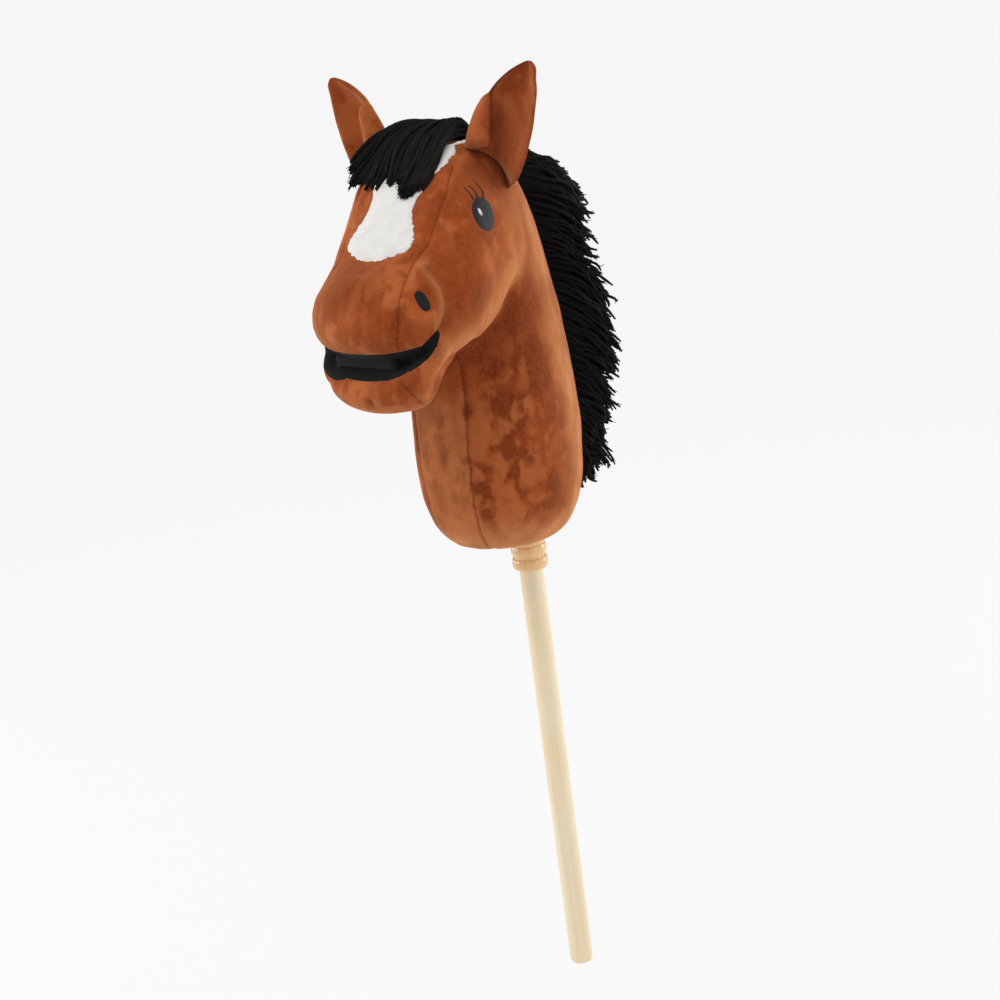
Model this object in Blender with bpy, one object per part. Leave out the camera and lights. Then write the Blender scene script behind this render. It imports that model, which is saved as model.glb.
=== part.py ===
"""Plush hobby horse: a stuffed horse's head and neck on a turned collar, with a pull-out wooden pole.

Units are metres. +Z runs up the pole, the horse faces -Y and its left side is +X.
The origin is the centre of the pole's flat lower end.
"""
import math
from collections import namedtuple

import bmesh
import bpy
from mathutils import Vector
from mathutils.geometry import normal
from mathutils.bvhtree import BVHTree

MM = 0.001

# Fits and cloth
CLEARANCE = 0.3 * MM
CLOTH = 1.0 * MM
SEAM_GAP = 0.18 * MM
SEAM_LIMIT = 3.0 * MM
EAR_CLOTH = 2.0 * MM
PATCH_LIFT = 0.4 * MM
LASH_LIFT = 0.7 * MM
THREAD = 0.8 * MM

# Pole, tube and plug
STICK_DIAMETER = 22.0 * MM
STICK_LENGTH = 620.0 * MM
STICK_ROUNDING = 2.5 * MM
STICK_PLAY = 0.4 * MM
TUBE_WALL = 1.6 * MM
PLUG_SHANK = 12.0 * MM
PLUG_HEAD = 8.0 * MM
ROUND_SIDES = 24

# Collar
COLLAR_BOTTOM = 416.5 * MM
BEAD_HEIGHT = 10.5 * MM
BEAD_RADIUS = 16.4 * MM
BEAD_EDGE_RADIUS = 14.2 * MM
BEAD_GROOVE = 2.2 * MM
SPIGOT_RADIUS = 15.5 * MM
SPIGOT_LENGTH = 34.0 * MM
TUBE_SEAT = 18.0 * MM
TIE_DIAMETER = 2.6 * MM
TIE_GROOVE_DEPTH = 2.0 * MM

# Cover, measured up from the hem round the collar
HEM_ABOVE_BEADS = 7.0 * MM
HEM_HALF = (SPIGOT_RADIUS + CLEARANCE) / MM
COLLAR_BEADS = 2 * BEAD_HEIGHT + BEAD_GROOVE
BEADS_TOP = COLLAR_BOTTOM + COLLAR_BEADS
HEM = BEADS_TOP + HEM_ABOVE_BEADS

# Ears
EAR_TIP = (104.3 * MM, -47.8 * MM, 419.0 * MM)
EAR_ROOT = (47.5 * MM, -55.0 * MM, 316.0 * MM)
EAR_HALF_WIDTH = 32.0 * MM
EAR_CUP = 14.0 * MM
EAR_TURN = math.radians(3)
EAR_ROWS = 12
EAR_COLUMNS = 8

# An ear's outline, as (place from root to tip, share of the half width on its inner side, on its outer side)
EAR_OUTLINE = [(0.0, 0.31, 0.38), (0.136, 0.56, 0.58), (0.28, 0.81, 0.95), (0.36, 0.91, 1.0), (0.447, 0.97, 0.98),
               (0.54, 1.05, 0.92), (0.67, 1.08, 0.78), (0.80, 0.99, 0.65), (0.874, 0.84, 0.48), (0.93, 0.62, 0.32),
               (0.965, 0.40, 0.20), (1.0, 0.06, 0.06)]

# Mane and its tape: places along the cover's row of sections, then sizes
MANE_FROM = 3.8
MANE_TO = 10.2
MANE_ROWS = 34
MANE_LENGTH = 76.0 * MM
MANE_LOCK = 7.0 * MM
MANE_DROOP = 16.0 * MM
MANE_HALF_WIDTH = 30.0 * MM
MANE_ROOT_HALF = 5.0 * MM
MANE_LOW_END = (0.50, 1.9)
MANE_HIGH_END = (0.40, 2.4)
TAPE_HALF_WIDTH = 6.0 * MM
TAPE_LIFT = 0.6 * MM
TAPE_THICKNESS = 1.0 * MM

# Forelock: places along the row of sections, angles round a section, then sizes
FORELOCK_FROM = 11.1
FORELOCK_RUN = 1.55
FORELOCK_ROWS = 10
FORELOCK_COLUMNS = 17
FORELOCK_ROOT_ANGLE = 0.20
FORELOCK_LEFT_SPREAD = 0.12
FORELOCK_RIGHT_SPREAD = 0.60
FORELOCK_SLANT = 0.25
FORELOCK_LOCK = 0.16
FORELOCK_LIFT = 1.2 * MM
FORELOCK_TIPS = 1.5 * MM
FORELOCK_OVER_LASHES = 2.5 * MM
FORELOCK_THICKNESS = 20.0 * MM

# Columns of the cover, counted round half a section from the top or nape to the throat
GUSSET_COLUMNS = 3
BLAZE_COLUMN = 2
UPPER_COLUMNS = 7
LOWER_COLUMNS = 6
THROAT_COLUMNS = 3
MUZZLE_SIDE = 2
HALF = GUSSET_COLUMNS + UPPER_COLUMNS + LOWER_COLUMNS + THROAT_COLUMNS
CORNER_COLUMN = GUSSET_COLUMNS + UPPER_COLUMNS
MUZZLE_HALF = GUSSET_COLUMNS + MUZZLE_SIDE

# A section of the cover, in millimetres: its upper or nape point and its lower or throat point as
# (y, height over the hem), its half width, how far its widest place moves towards the nape, its
# squareness, the half widths of the face gusset, blaze and throat gusset, and the mouth line's angle
Section = namedtuple("Section", "back front half shift square gusset blaze throat mouth")
SECTIONS = [
    Section((HEM_HALF, 0.0), (-HEM_HALF, 0.0), HEM_HALF, 0.0, 1.0, 6.0, 4.0, 6.0, 90),
    Section((33.5, 6.0), (-54.0, 8.0), 35.5, 0.0, 1.0, 12.0, 8.0, 12.0, 90),
    Section((38.5, 15.0), (-78.5, 15.5), 49.0, 0.0, 1.0, 18.0, 12.0, 19.0, 90),
    Section((48.0, 34.0), (-93.0, 34.0), 60.5, 0.0, 1.0, 22.0, 14.0, 24.0, 90),
    Section((56.0, 61.0), (-99.5, 61.0), 67.0, 0.0, 1.0, 24.0, 16.0, 27.0, 90),
    Section((59.0, 98.0), (-100.5, 96.0), 69.0, 0.0, 1.0, 26.0, 17.0, 28.0, 90),
    Section((56.5, 143.0), (-98.5, 136.0), 67.5, 0.02, 1.0, 27.0, 18.0, 29.0, 90),
    Section((50.0, 193.0), (-98.0, 167.0), 64.0, 0.08, 1.0, 28.0, 19.0, 30.0, 90),
    Section((42.0, 248.0), (-104.0, 183.0), 60.0, 0.10, 1.0, 29.0, 20.0, 31.0, 90),
    Section((31.0, 305.0), (-109.0, 191.0), 62.0, -0.04, 1.0, 30.0, 21.0, 32.0, 90),
    Section((8.0, 343.0), (-113.0, 187.0), 68.0, -0.15, 0.92, 31.0, 22.0, 33.0, 90),
    Section((-27.0, 359.0), (-118.0, 180.0), 71.0, -0.18, 0.84, 33.0, 22.0, 34.0, 90),
    Section((-66.0, 354.0), (-123.0, 173.0), 76.0, -0.15, 0.74, 36.0, 22.0, 35.0, 88),
    Section((-97.0, 337.0), (-128.0, 166.0), 76.0, -0.10, 0.70, 38.0, 22.0, 36.0, 86),
    Section((-118.0, 312.0), (-133.0, 162.0), 73.0, -0.06, 0.70, 39.0, 26.0, 37.0, 85),
    Section((-135.0, 292.0), (-138.0, 160.0), 70.5, 0.0, 0.72, 42.0, 36.0, 38.0, 84),
    Section((-152.0, 279.0), (-144.0, 159.0), 69.5, 0.0, 0.76, 44.0, 33.0, 39.0, 84),
]
FINE_FROM = 5
BLAZE_FROM = 11
BLAZE_TO = 15.5
GUSSET_FROM = 11
STUFFING_SPLIT = 11
STUFFING_DROP = 10.0 * MM

# Middle points of the muzzle's rows as (y, height over the hem), in millimetres
MUZZLE_ROWS = [(-170, 272), (-182, 259), (-187, 242), (-186, 227)]
UPPER_LIP = (-179, 216)
MOUTH_BACK = (-155, 202)
LOWER_LIP = (-175, 190)
CHIN_ROWS = [(-180, 178.5), (-175, 168), (-162, 161)]
CHIN_FULLNESS = 1.01
LIP_GUSSET = 42
MOUTH_CORNER_AIM = (0.6, -0.8)
SHARPEST = 1.8

# Patches on the face, as the line of sight that meets the cover: a point beside the head and its aim
EYE_PLACE = (-76.0 * MM, 306.0 * MM)
EYE_SIZE = (8.0 * MM, 14.0 * MM)
EYE_TILT = math.radians(8)
GLINT_SIZE = (2.0 * MM, 4.4 * MM)
GLINT_OFFSET = (-2.0 * MM, 1.5 * MM)
NOSTRIL_PLACE = (-149.0 * MM, 255.0 * MM)
NOSTRIL_SIZE = (5.5 * MM, 9.5 * MM)
NOSTRIL_TILT = math.radians(-12)
LASH_WIDTH = 1.4 * MM
LASH_LENGTH = 10.5 * MM
LASH_ANGLES = (-6, 16, 38)
LASH_SWEEP = math.radians(10)


def clear_scene():
    for thing in list(bpy.data.objects):
        bpy.data.objects.remove(thing)


def material(name, colour, roughness, metallic=0.0):
    made = bpy.data.materials.new(name)
    made.use_nodes = True
    shader = made.node_tree.nodes["Principled BSDF"]
    shader.inputs["Base Color"].default_value = (*colour, 1.0)
    shader.inputs["Roughness"].default_value = roughness
    shader.inputs["Metallic"].default_value = metallic
    return made


def add_object(name, mesh, finish, smooth=False):
    thing = bpy.data.objects.new(name, mesh)
    bpy.context.scene.collection.objects.link(thing)
    mesh.materials.append(finish)
    if smooth:
        mesh.shade_smooth()
        mesh.set_sharp_from_angle(angle=math.radians(40))
    return thing


def mesh_from(bm, name):
    bmesh.ops.recalc_face_normals(bm, faces=bm.faces)
    if bm.calc_volume(signed=True) < 0:
        bmesh.ops.reverse_faces(bm, faces=bm.faces)
    mesh = bpy.data.meshes.new(name)
    bm.to_mesh(mesh)
    bm.free()
    return mesh


def turned(name, profile, finish, sides=ROUND_SIDES, hollow=False):
    """Turn a profile of (radius, height) about Z: a loop when hollow, else a line from axis to axis."""
    bm = bmesh.new()
    rings = []
    for radius, height in profile:
        if radius == 0:
            rings.append([bm.verts.new((0, 0, height))] * sides)
        else:
            angles = [2 * math.pi * k / sides for k in range(sides)]
            rings.append([bm.verts.new((radius * math.cos(a), radius * math.sin(a), height)) for a in angles])
    pairs = list(zip(rings, rings[1:]))
    if hollow:
        pairs.append((rings[-1], rings[0]))
    for low, high in pairs:
        for k in range(sides):
            m = (k + 1) % sides
            corners = []
            for vert in (low[k], low[m], high[m], high[k]):
                if vert not in corners:
                    corners.append(vert)
            bm.faces.new(corners)
    return add_object(name, mesh_from(bm, name), finish, smooth=True)


def shell(name, faces, outer, inner, finish):
    """A closed sheet between two layers of points that share one list of faces."""
    bm = bmesh.new()
    used = sorted({k for face in faces for k in face})
    top = {k: bm.verts.new(outer[k]) for k in used}
    bottom = {k: bm.verts.new(inner[k]) for k in used}
    edges = {}
    for face in faces:
        bm.faces.new([top[k] for k in face])
        bm.faces.new([bottom[k] for k in reversed(face)])
        for a, b in zip(face, face[1:] + face[:1]):
            edges[(a, b)] = True
    for a, b in edges:
        if (b, a) not in edges:
            bm.faces.new([top[b], top[a], bottom[a], bottom[b]])
    return add_object(name, mesh_from(bm, name), finish, smooth=True)


def grid_faces(rows, columns):
    """Quads of a grid whose points are numbered row by row."""
    faces = []
    for i in range(rows - 1):
        for j in range(columns - 1):
            first = i * columns + j
            faces.append((first, first + 1, first + columns + 1, first + columns))
    return faces


def bead(low, radius=BEAD_RADIUS, height=BEAD_HEIGHT, steps=6):
    """A turned bead's outline from its lower to its upper edge."""
    line = []
    for k in range(steps + 1):
        swing = math.pi * k / steps
        out = BEAD_EDGE_RADIUS + (radius - BEAD_EDGE_RADIUS) * math.sin(swing) ** 0.6
        line.append((out, low + height * (1 - math.cos(swing)) / 2))
    return line


def catmull(a, b, c, d, t):
    return 0.5 * (2 * b + (c - a) * t + (2 * a - 5 * b + 4 * c - d) * t * t + (3 * b - a - 3 * c + d) * t ** 3)


def section_at(place):
    """The cover's section at any place along the row of sections, blended smoothly."""
    last = len(SECTIONS) - 1
    first = min(int(place), last - 1)
    t = place - first
    rows = []
    for k in (first - 1, first, first + 1, first + 2):
        near = SECTIONS[max(0, min(last, k))]
        rows.append([*near.back, *near.front, *near[2:]])
    if first == 0:
        rows[0] = [2 * b - c for b, c in zip(rows[1], rows[2])]
    if first == last - 1:
        rows[3] = [2 * c - b for b, c in zip(rows[1], rows[2])]
    mixed = [catmull(a, b, c, d, t) for a, b, c, d in zip(*rows)]
    return Section(tuple(mixed[:2]), tuple(mixed[2:4]), *mixed[4:])


def section_point(section, angle):
    """A point of a section, from angle 0 at the nape or top to pi at the throat, on the horse's left."""
    along = math.cos(angle) + section.shift * math.sin(angle) ** 2
    out = section.half * max(math.sin(angle), 0.0) ** section.square
    y = (section.back[0] * (1 + along) + section.front[0] * (1 - along)) / 2
    z = (section.back[1] * (1 + along) + section.front[1] * (1 - along)) / 2
    return Vector((out * MM, y * MM, HEM + z * MM))


def section_angles(section):
    """Angles of the cover's columns: the seams keep the widths that the section states."""
    def angle_at(width):
        return math.asin(min(1.0, width / section.half) ** (1 / section.square))
    blaze = angle_at(section.blaze)
    gusset = angle_at(section.gusset)
    mouth = math.radians(section.mouth)
    throat = math.pi - angle_at(section.throat)
    angles = [0.0, blaze / 2, blaze]
    angles += [gusset + (mouth - gusset) * k / UPPER_COLUMNS for k in range(UPPER_COLUMNS)]
    angles += [mouth + (throat - mouth) * k / LOWER_COLUMNS for k in range(LOWER_COLUMNS)]
    angles += [throat + (math.pi - throat) * k / THROAT_COLUMNS for k in range(THROAT_COLUMNS + 1)]
    return angles


def muzzle_row(end, middle, gusset, bend, fullness=1.04):
    """Half a row over the muzzle's front, from its middle point to the side point that it ends on."""
    reach = end.x
    widths = [gusset * k / GUSSET_COLUMNS for k in range(GUSSET_COLUMNS + 1)]
    widths += [gusset + (reach - gusset) * k / MUZZLE_SIDE for k in range(1, MUZZLE_SIDE + 1)]
    full = reach * fullness
    whole = 1 - math.sqrt(1 - (reach / full) ** 2)
    y0 = middle[0] * MM
    z0 = HEM + middle[1] * MM
    row = []
    for x in widths:
        share = (1 - math.sqrt(1 - (x / full) ** 2)) / whole
        row.append(Vector((x, y0 + (end.y - y0) * share, z0 + (end.z - z0) * (x / reach) ** bend)))
    return row


class Cover:
    """The cover's outer surface as points and tagged faces, with its inner layers."""

    def __init__(self):
        self.points = []
        self.index = {}
        self.faces = []
        self.tags = []
        self.places = [float(k) for k in range(FINE_FROM)]
        steps = 2 * (len(SECTIONS) - 1 - FINE_FROM)
        self.places += [FINE_FROM + k / 2 for k in range(steps + 1)]
        self.add_rings()
        self.add_muzzle()
        self.measure()

    def add_point(self, key, point):
        self.index[key] = len(self.points)
        self.points.append(point)

    def ring(self, row, column):
        if column == -HALF:
            column = HALF
        return self.index[("ring", row, column)]

    def face(self, corners, tag):
        """Add a quad as two triangles, alike on both sides of the head, so that all layers match."""
        a, b, c, d = corners
        halves = [(a, b, c), (a, c, d)] if tag[2] >= 0 else [(a, b, d), (b, c, d)]
        for half in halves:
            if len(set(half)) == 3:
                self.faces.append(half)
                self.tags.append(tag)

    def add_rings(self):
        for row, place in enumerate(self.places):
            section = section_at(place)
            for column, angle in enumerate(section_angles(section)):
                point = section_point(section, angle)
                if column in (0, HALF):
                    point.x = 0.0
                    self.add_point(("ring", row, column), point)
                else:
                    self.add_point(("ring", row, column), point)
                    self.add_point(("ring", row, -column), Vector((-point.x, point.y, point.z)))
        self.faces.append(tuple(self.ring(0, column) for column in range(-HALF, HALF)))
        self.tags.append(("hem", 0, 0))
        for row in range(len(self.places) - 1):
            for column in range(-HALF, HALF):
                corners = [self.ring(row, column), self.ring(row, column + 1),
                           self.ring(row + 1, column + 1), self.ring(row + 1, column)]
                self.face(corners, ("loft", self.places[row], column))

    def add_muzzle(self):
        last = len(self.places) - 1

        def side(column):
            return self.points[self.ring(last, column)]

        nose = SECTIONS[-1]
        above = [muzzle_row(side(MUZZLE_HALF + 1 + k), middle, nose.gusset * MM, 2.2)
                 for k, middle in enumerate(MUZZLE_ROWS)]
        corner = side(CORNER_COLUMN)
        lips = [muzzle_row(corner, UPPER_LIP, LIP_GUSSET * MM, 3.0),
                muzzle_row(corner, MOUTH_BACK, LIP_GUSSET * MM, 3.0, 1.2),
                muzzle_row(corner, LOWER_LIP, nose.throat * MM, 3.5)]
        below = [muzzle_row(side(CORNER_COLUMN + 1 + k), middle, nose.throat * MM, 2.5, CHIN_FULLNESS)
                 for k, middle in enumerate(CHIN_ROWS)]
        ends = [MUZZLE_HALF + 1 + k for k in range(len(above))]
        ends += [CORNER_COLUMN] * len(lips)
        ends += [CORNER_COLUMN + 1 + k for k in range(len(below))]
        grid = [[self.ring(last, column) for column in range(-MUZZLE_HALF, MUZZLE_HALF + 1)]]
        for number, (row, end) in enumerate(zip(above + lips + below, ends)):
            line = [self.ring(last, -end)]
            for column in range(1 - MUZZLE_HALF, MUZZLE_HALF):
                key = ("muzzle", number, column)
                point = row[abs(column)]
                self.add_point(key, Vector((math.copysign(point.x, column) if column else 0.0, point.y, point.z)))
                line.append(self.index[key])
            line.append(self.ring(last, end))
            grid.append(line)
        under = [-(HALF - k) for k in range(MUZZLE_HALF, 0, -1)] + [HALF]
        under += [HALF - k for k in range(1, MUZZLE_HALF + 1)]
        grid.append([self.ring(last, column) for column in under])
        names = ["upper"] * (len(above) + 1) + ["roof", "floor"] + ["chin"] * (len(below) + 1)
        for number, name in enumerate(names):
            for column in range(2 * MUZZLE_HALF):
                low, high = grid[number], grid[number + 1]
                corners = [low[column + 1], low[column], high[column], high[column + 1]]
                self.face(corners, (name, number, column - MUZZLE_HALF))

    def measure(self):
        """Set each point's normal and the factor that keeps an offset layer's distance even."""
        bm = bmesh.new()
        verts = [bm.verts.new(point) for point in self.points]
        for face in self.faces:
            bm.faces.new([verts[k] for k in face])
        bmesh.ops.recalc_face_normals(bm, faces=bm.faces)
        bm.normal_update()
        self.faces = [tuple(vert.index for vert in face.verts) for face in self.renumbered(bm)]
        self.normals = [vert.normal.copy() for vert in verts]
        self.factors = [min(vert.calc_shell_factor(), SHARPEST) for vert in verts]
        for side in (-1, 1):
            corner = self.ring(len(self.places) - 1, side * CORNER_COLUMN)
            self.normals[corner] = Vector((side * MOUTH_CORNER_AIM[0], MOUTH_CORNER_AIM[1], 0.0))
        self.tree = BVHTree.FromBMesh(bm)
        bm.free()

    @staticmethod
    def renumbered(bm):
        bm.verts.index_update()
        return bm.faces

    def layer(self, depth):
        """The surface's points moved inwards by a depth."""
        moved = []
        for point, normal, factor in zip(self.points, self.normals, self.factors):
            moved.append(point - normal * factor * depth)
        return moved

    def panel(self, name, wanted, finish):
        """One cut piece of the cover: the faces whose tag is wanted, drawn back from its seams."""
        faces = [face for face, tag in zip(self.faces, self.tags) if wanted(*tag)]
        edges = {(a, b): face for face in faces for a, b in zip(face, face[1:] + face[:1])}
        draw = {}
        for (a, b), face in edges.items():
            if (b, a) in edges:
                continue
            along = (self.points[b] - self.points[a]).normalized()
            facing = normal(*[self.points[k] for k in face[:3]])
            inwards = facing.cross(along).normalized()
            for k in (a, b):
                draw[k] = draw.get(k, Vector()) + inwards
        inner = self.layer(CLOTH)
        outer = list(self.points)
        for k, pull in draw.items():
            shift = pull * min(2 * SEAM_GAP / pull.length_squared, SEAM_LIMIT)
            outer[k] = outer[k] + shift
            inner[k] = inner[k] + shift
        return shell(name, faces, outer, inner, finish)

    def closed(self, depth):
        """A bmesh of the whole surface at a depth, closed over the hem."""
        bm = bmesh.new()
        verts = [bm.verts.new(point) for point in self.layer(depth)]
        for face in self.faces:
            bm.faces.new([verts[k] for k in face])
        return bm

    def at(self, origin, direction):
        """The point and normal where a line of sight first meets the cover."""
        point, normal, _, _ = self.tree.ray_cast(origin, direction)
        return point, normal


def keep_below(bm, point, normal):
    """Cut a closed bmesh at a plane and keep the side that the normal points away from."""
    everything = bm.verts[:] + bm.edges[:] + bm.faces[:]
    cut = bmesh.ops.bisect_plane(bm, geom=everything, plane_co=point, plane_no=normal, clear_outer=True)
    rim = [item for item in cut["geom_cut"] if isinstance(item, bmesh.types.BMEdge)]
    bmesh.ops.holes_fill(bm, edges=rim)


def guide(thing):
    thing.hide_render = True
    thing.display_type = "WIRE"
    return thing


def subtract(thing, cutter):
    cut = thing.modifiers.new("cut", "BOOLEAN")
    cut.operation = "DIFFERENCE"
    cut.solver = "EXACT"
    cut.object = cutter


def make_pole(wood, tube_finish, lacquer, cord):
    radius = STICK_DIAMETER / 2
    steps = 4
    lower = []
    for k in range(steps + 1):
        swing = math.pi / 2 * k / steps
        lower.append((radius - STICK_ROUNDING * (1 - math.sin(swing)), STICK_ROUNDING * (1 - math.cos(swing))))
    upper = [(r, STICK_LENGTH - z) for r, z in reversed(lower)]
    turned("stick", [(0, 0)] + lower + upper + [(0, STICK_LENGTH)], wood)

    bore = radius + STICK_PLAY
    tube_radius = bore + TUBE_WALL
    spigot_top = BEADS_TOP + SPIGOT_LENGTH
    seat = spigot_top - TUBE_SEAT
    seat_radius = tube_radius + CLEARANCE
    groove_low = HEM + CLOTH
    groove_high = groove_low + TIE_DIAMETER + 2 * CLEARANCE
    groove_radius = SPIGOT_RADIUS - TIE_GROOVE_DEPTH
    profile = [(bore, COLLAR_BOTTOM)]
    profile += bead(COLLAR_BOTTOM)
    profile += bead(COLLAR_BOTTOM + BEAD_HEIGHT + BEAD_GROOVE)
    profile += [(SPIGOT_RADIUS, BEADS_TOP + CLEARANCE), (SPIGOT_RADIUS, groove_low)]
    profile += [(groove_radius, groove_low), (groove_radius, groove_high), (SPIGOT_RADIUS, groove_high)]
    profile += [(SPIGOT_RADIUS, spigot_top), (seat_radius, spigot_top), (seat_radius, seat), (bore, seat)]
    turned("collar", profile, lacquer, hollow=True)

    tube_top = STICK_LENGTH + PLUG_SHANK
    tube_low = seat + CLEARANCE
    tube = [(bore, tube_low), (tube_radius, tube_low), (tube_radius, tube_top), (bore, tube_top)]
    turned("socket_tube", tube, tube_finish, hollow=True)

    plug_low = STICK_LENGTH + CLEARANCE
    plug_step = tube_top + CLEARANCE
    plug_top = plug_step + PLUG_HEAD
    shank = bore - CLEARANCE
    plug = [(0, plug_low), (shank, plug_low), (shank, plug_step), (tube_radius, plug_step)]
    turned("socket_plug", plug + [(tube_radius, plug_top), (0, plug_top)], wood)

    middle = (groove_low + groove_high) / 2
    tie_radius = TIE_DIAMETER / 2
    tie_centre = groove_radius + CLEARANCE + tie_radius
    loop = []
    for k in range(8):
        swing = 2 * math.pi * k / 8
        loop.append((tie_centre + tie_radius * math.cos(swing), middle + tie_radius * math.sin(swing)))
    turned("hem_tie", loop, cord, hollow=True)
    return spigot_top, tube_radius, plug_top


def make_stuffing(cover, fibre, spigot_top, tube_radius, plug_top):
    """The fibre fill, as three lumps with the socket's hole up the neck."""
    depth = CLOTH + CLEARANCE
    split = section_at(STUFFING_SPLIT)
    nape = Vector((0, split.back[0] * MM, HEM + split.back[1] * MM))
    throat = Vector((0, split.front[0] * MM, HEM + split.front[1] * MM))
    across = Vector((1, 0, 0))
    upwards = (nape - throat).cross(across).normalized()
    if upwards.y > 0:
        upwards = -upwards
    mouth = Vector((0, MOUTH_BACK[0] * MM, HEM + MOUTH_BACK[1] * MM))
    over_jaw = (mouth - throat).cross(across).normalized()
    if over_jaw.z < 0:
        over_jaw = -over_jaw
    half_gap = CLEARANCE / 2

    neck = cover.closed(depth)
    keep_below(neck, throat - upwards * half_gap, upwards)
    neck_stuffing = add_object("neck_stuffing", mesh_from(neck, "neck_stuffing"), fibre)
    wide = SPIGOT_RADIUS + TIE_DIAMETER
    narrow = tube_radius + CLEARANCE
    step = spigot_top + CLEARANCE
    top = plug_top + CLEARANCE
    low = HEM - STUFFING_DROP
    hole = [(0, low), (wide, low), (wide, step), (narrow, step), (narrow, top), (0, top)]
    subtract(neck_stuffing, guide(turned("socket_hole", hole, fibre)))

    head = cover.closed(depth)
    keep_below(head, throat + upwards * half_gap, -upwards)
    keep_below(head, throat + over_jaw * half_gap, -over_jaw)
    add_object("head_stuffing", mesh_from(head, "head_stuffing"), fibre)

    jaw = cover.closed(depth)
    keep_below(jaw, throat + upwards * half_gap, -upwards)
    keep_below(jaw, throat - over_jaw * half_gap, over_jaw)
    add_object("jaw_stuffing", mesh_from(jaw, "jaw_stuffing"), fibre)


def make_cover(cover, plush, white_plush, lining):
    gusset = range(-GUSSET_COLUMNS, GUSSET_COLUMNS)
    blaze = range(-BLAZE_COLUMN, BLAZE_COLUMN)
    throat_edge = HALF - THROAT_COLUMNS

    def on_blaze(kind, place, column):
        return kind == "loft" and BLAZE_FROM <= place < BLAZE_TO and column in blaze

    def on_face(kind, place, column):
        if on_blaze(kind, place, column):
            return False
        return column in gusset and (kind == "upper" or kind == "loft" and place >= GUSSET_FROM)

    def on_throat(kind, place, column):
        if kind == "loft":
            return column >= throat_edge or column < -throat_edge
        return kind == "chin" and column in gusset

    def on_side(kind, place, column):
        if kind not in ("loft", "upper", "chin"):
            return False
        return not (on_face(kind, place, column) or on_throat(kind, place, column)
                    or on_blaze(kind, place, column))

    cover.panel("blaze", on_blaze, white_plush)
    cover.panel("face_panel", on_face, plush)
    cover.panel("throat_panel", on_throat, plush)
    cover.panel("left_side_panel", lambda *tag: on_side(*tag) and tag[2] >= 0, plush)
    cover.panel("right_side_panel", lambda *tag: on_side(*tag) and tag[2] < 0, plush)
    inside = range(1 - MUZZLE_HALF, MUZZLE_HALF - 1)
    cover.panel("mouth_upper_lining", lambda *tag: tag[0] == "roof", lining)
    cover.panel("mouth_lower_lining", lambda *tag: tag[0] == "floor" and tag[2] in inside, lining)


def ear_point(side, along, across, depth):
    """A point of an ear: along from root to tip, across from the inner edge to the outer one."""
    root = Vector(EAR_ROOT)
    tip = Vector(EAR_TIP)
    spine = root.lerp(tip, along)
    spine.z += HEM
    outwards = Vector((math.cos(EAR_TURN), math.sin(EAR_TURN), 0))
    forwards = Vector((math.sin(EAR_TURN), -math.cos(EAR_TURN), 0))
    inner, outer = ear_widths(along)
    half = EAR_HALF_WIDTH * (outer if across > 0 else inner)
    cup = EAR_CUP * (inner + outer) / 2
    curl = across * across - 1
    point = spine + outwards * half * across + forwards * (cup * curl + depth)
    return Vector((point.x * side, point.y, point.z))


def ear_widths(along):
    """An ear's inner and outer width at a place from its root to its tip, as shares of its half width."""
    for (low, inner, outer), (high, next_inner, next_outer) in zip(EAR_OUTLINE, EAR_OUTLINE[1:]):
        if along <= high:
            t = (along - low) / (high - low)
            return inner + (next_inner - inner) * t, outer + (next_outer - outer) * t
    return EAR_OUTLINE[-1][1:]


def make_ears(cover, plush):
    grown = guide(add_object("head_for_ears", mesh_from(cover.closed(-CLEARANCE), "head_for_ears"), plush))
    faces = grid_faces(EAR_ROWS + 1, EAR_COLUMNS + 1)
    for side, word in ((1, "left"), (-1, "right")):
        for piece, shift in (("back", -EAR_CLOTH - CLEARANCE), ("inner", 0.0)):
            front = []
            rear = []
            for i in range(EAR_ROWS + 1):
                for j in range(EAR_COLUMNS + 1):
                    along = i / EAR_ROWS
                    across = 2 * j / EAR_COLUMNS - 1
                    front.append(ear_point(side, along, across, shift + EAR_CLOTH))
                    rear.append(ear_point(side, along, across, shift))
            ear = shell(f"{word}_ear_{piece}", faces, front, rear, plush)
            subtract(ear, grown)


def on_cover(cover, side, place, offset, tilt):
    """A line of sight from beside the head for a patch's own sideways and upward offsets."""
    y = place[0] + offset[0] * math.cos(tilt) - offset[1] * math.sin(tilt)
    z = HEM + place[1] + offset[0] * math.sin(tilt) + offset[1] * math.cos(tilt)
    return cover.at(Vector((side * 0.3, y, z)), Vector((-side, 0, 0)))


def make_oval(name, cover, side, place, size, tilt, lift, finish, rings=3, spokes=16):
    """An oval patch that follows the cover."""
    spots = [(0.0, 0.0)]
    for ring in range(1, rings + 1):
        for spoke in range(spokes):
            swing = 2 * math.pi * spoke / spokes
            spots.append((ring / rings * size[0] * math.cos(swing), ring / rings * size[1] * math.sin(swing)))
    faces = [(0, 1 + k, 1 + (k + 1) % spokes) for k in range(spokes)]
    for ring in range(1, rings):
        start = 1 + (ring - 1) * spokes
        for k in range(spokes):
            m = (k + 1) % spokes
            faces.append((start + k, start + spokes + k, start + spokes + m, start + m))
    follow_cover(name, cover, side, place, spots, faces, tilt, lift, finish)


def follow_cover(name, cover, side, place, spots, faces, tilt, lift, finish):
    top = []
    bottom = []
    for spot in spots:
        point, normal = on_cover(cover, side, place, spot, tilt)
        bottom.append(point + normal * lift)
        top.append(point + normal * (lift + THREAD))
    shell(name, faces, top, bottom, finish)


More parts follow.
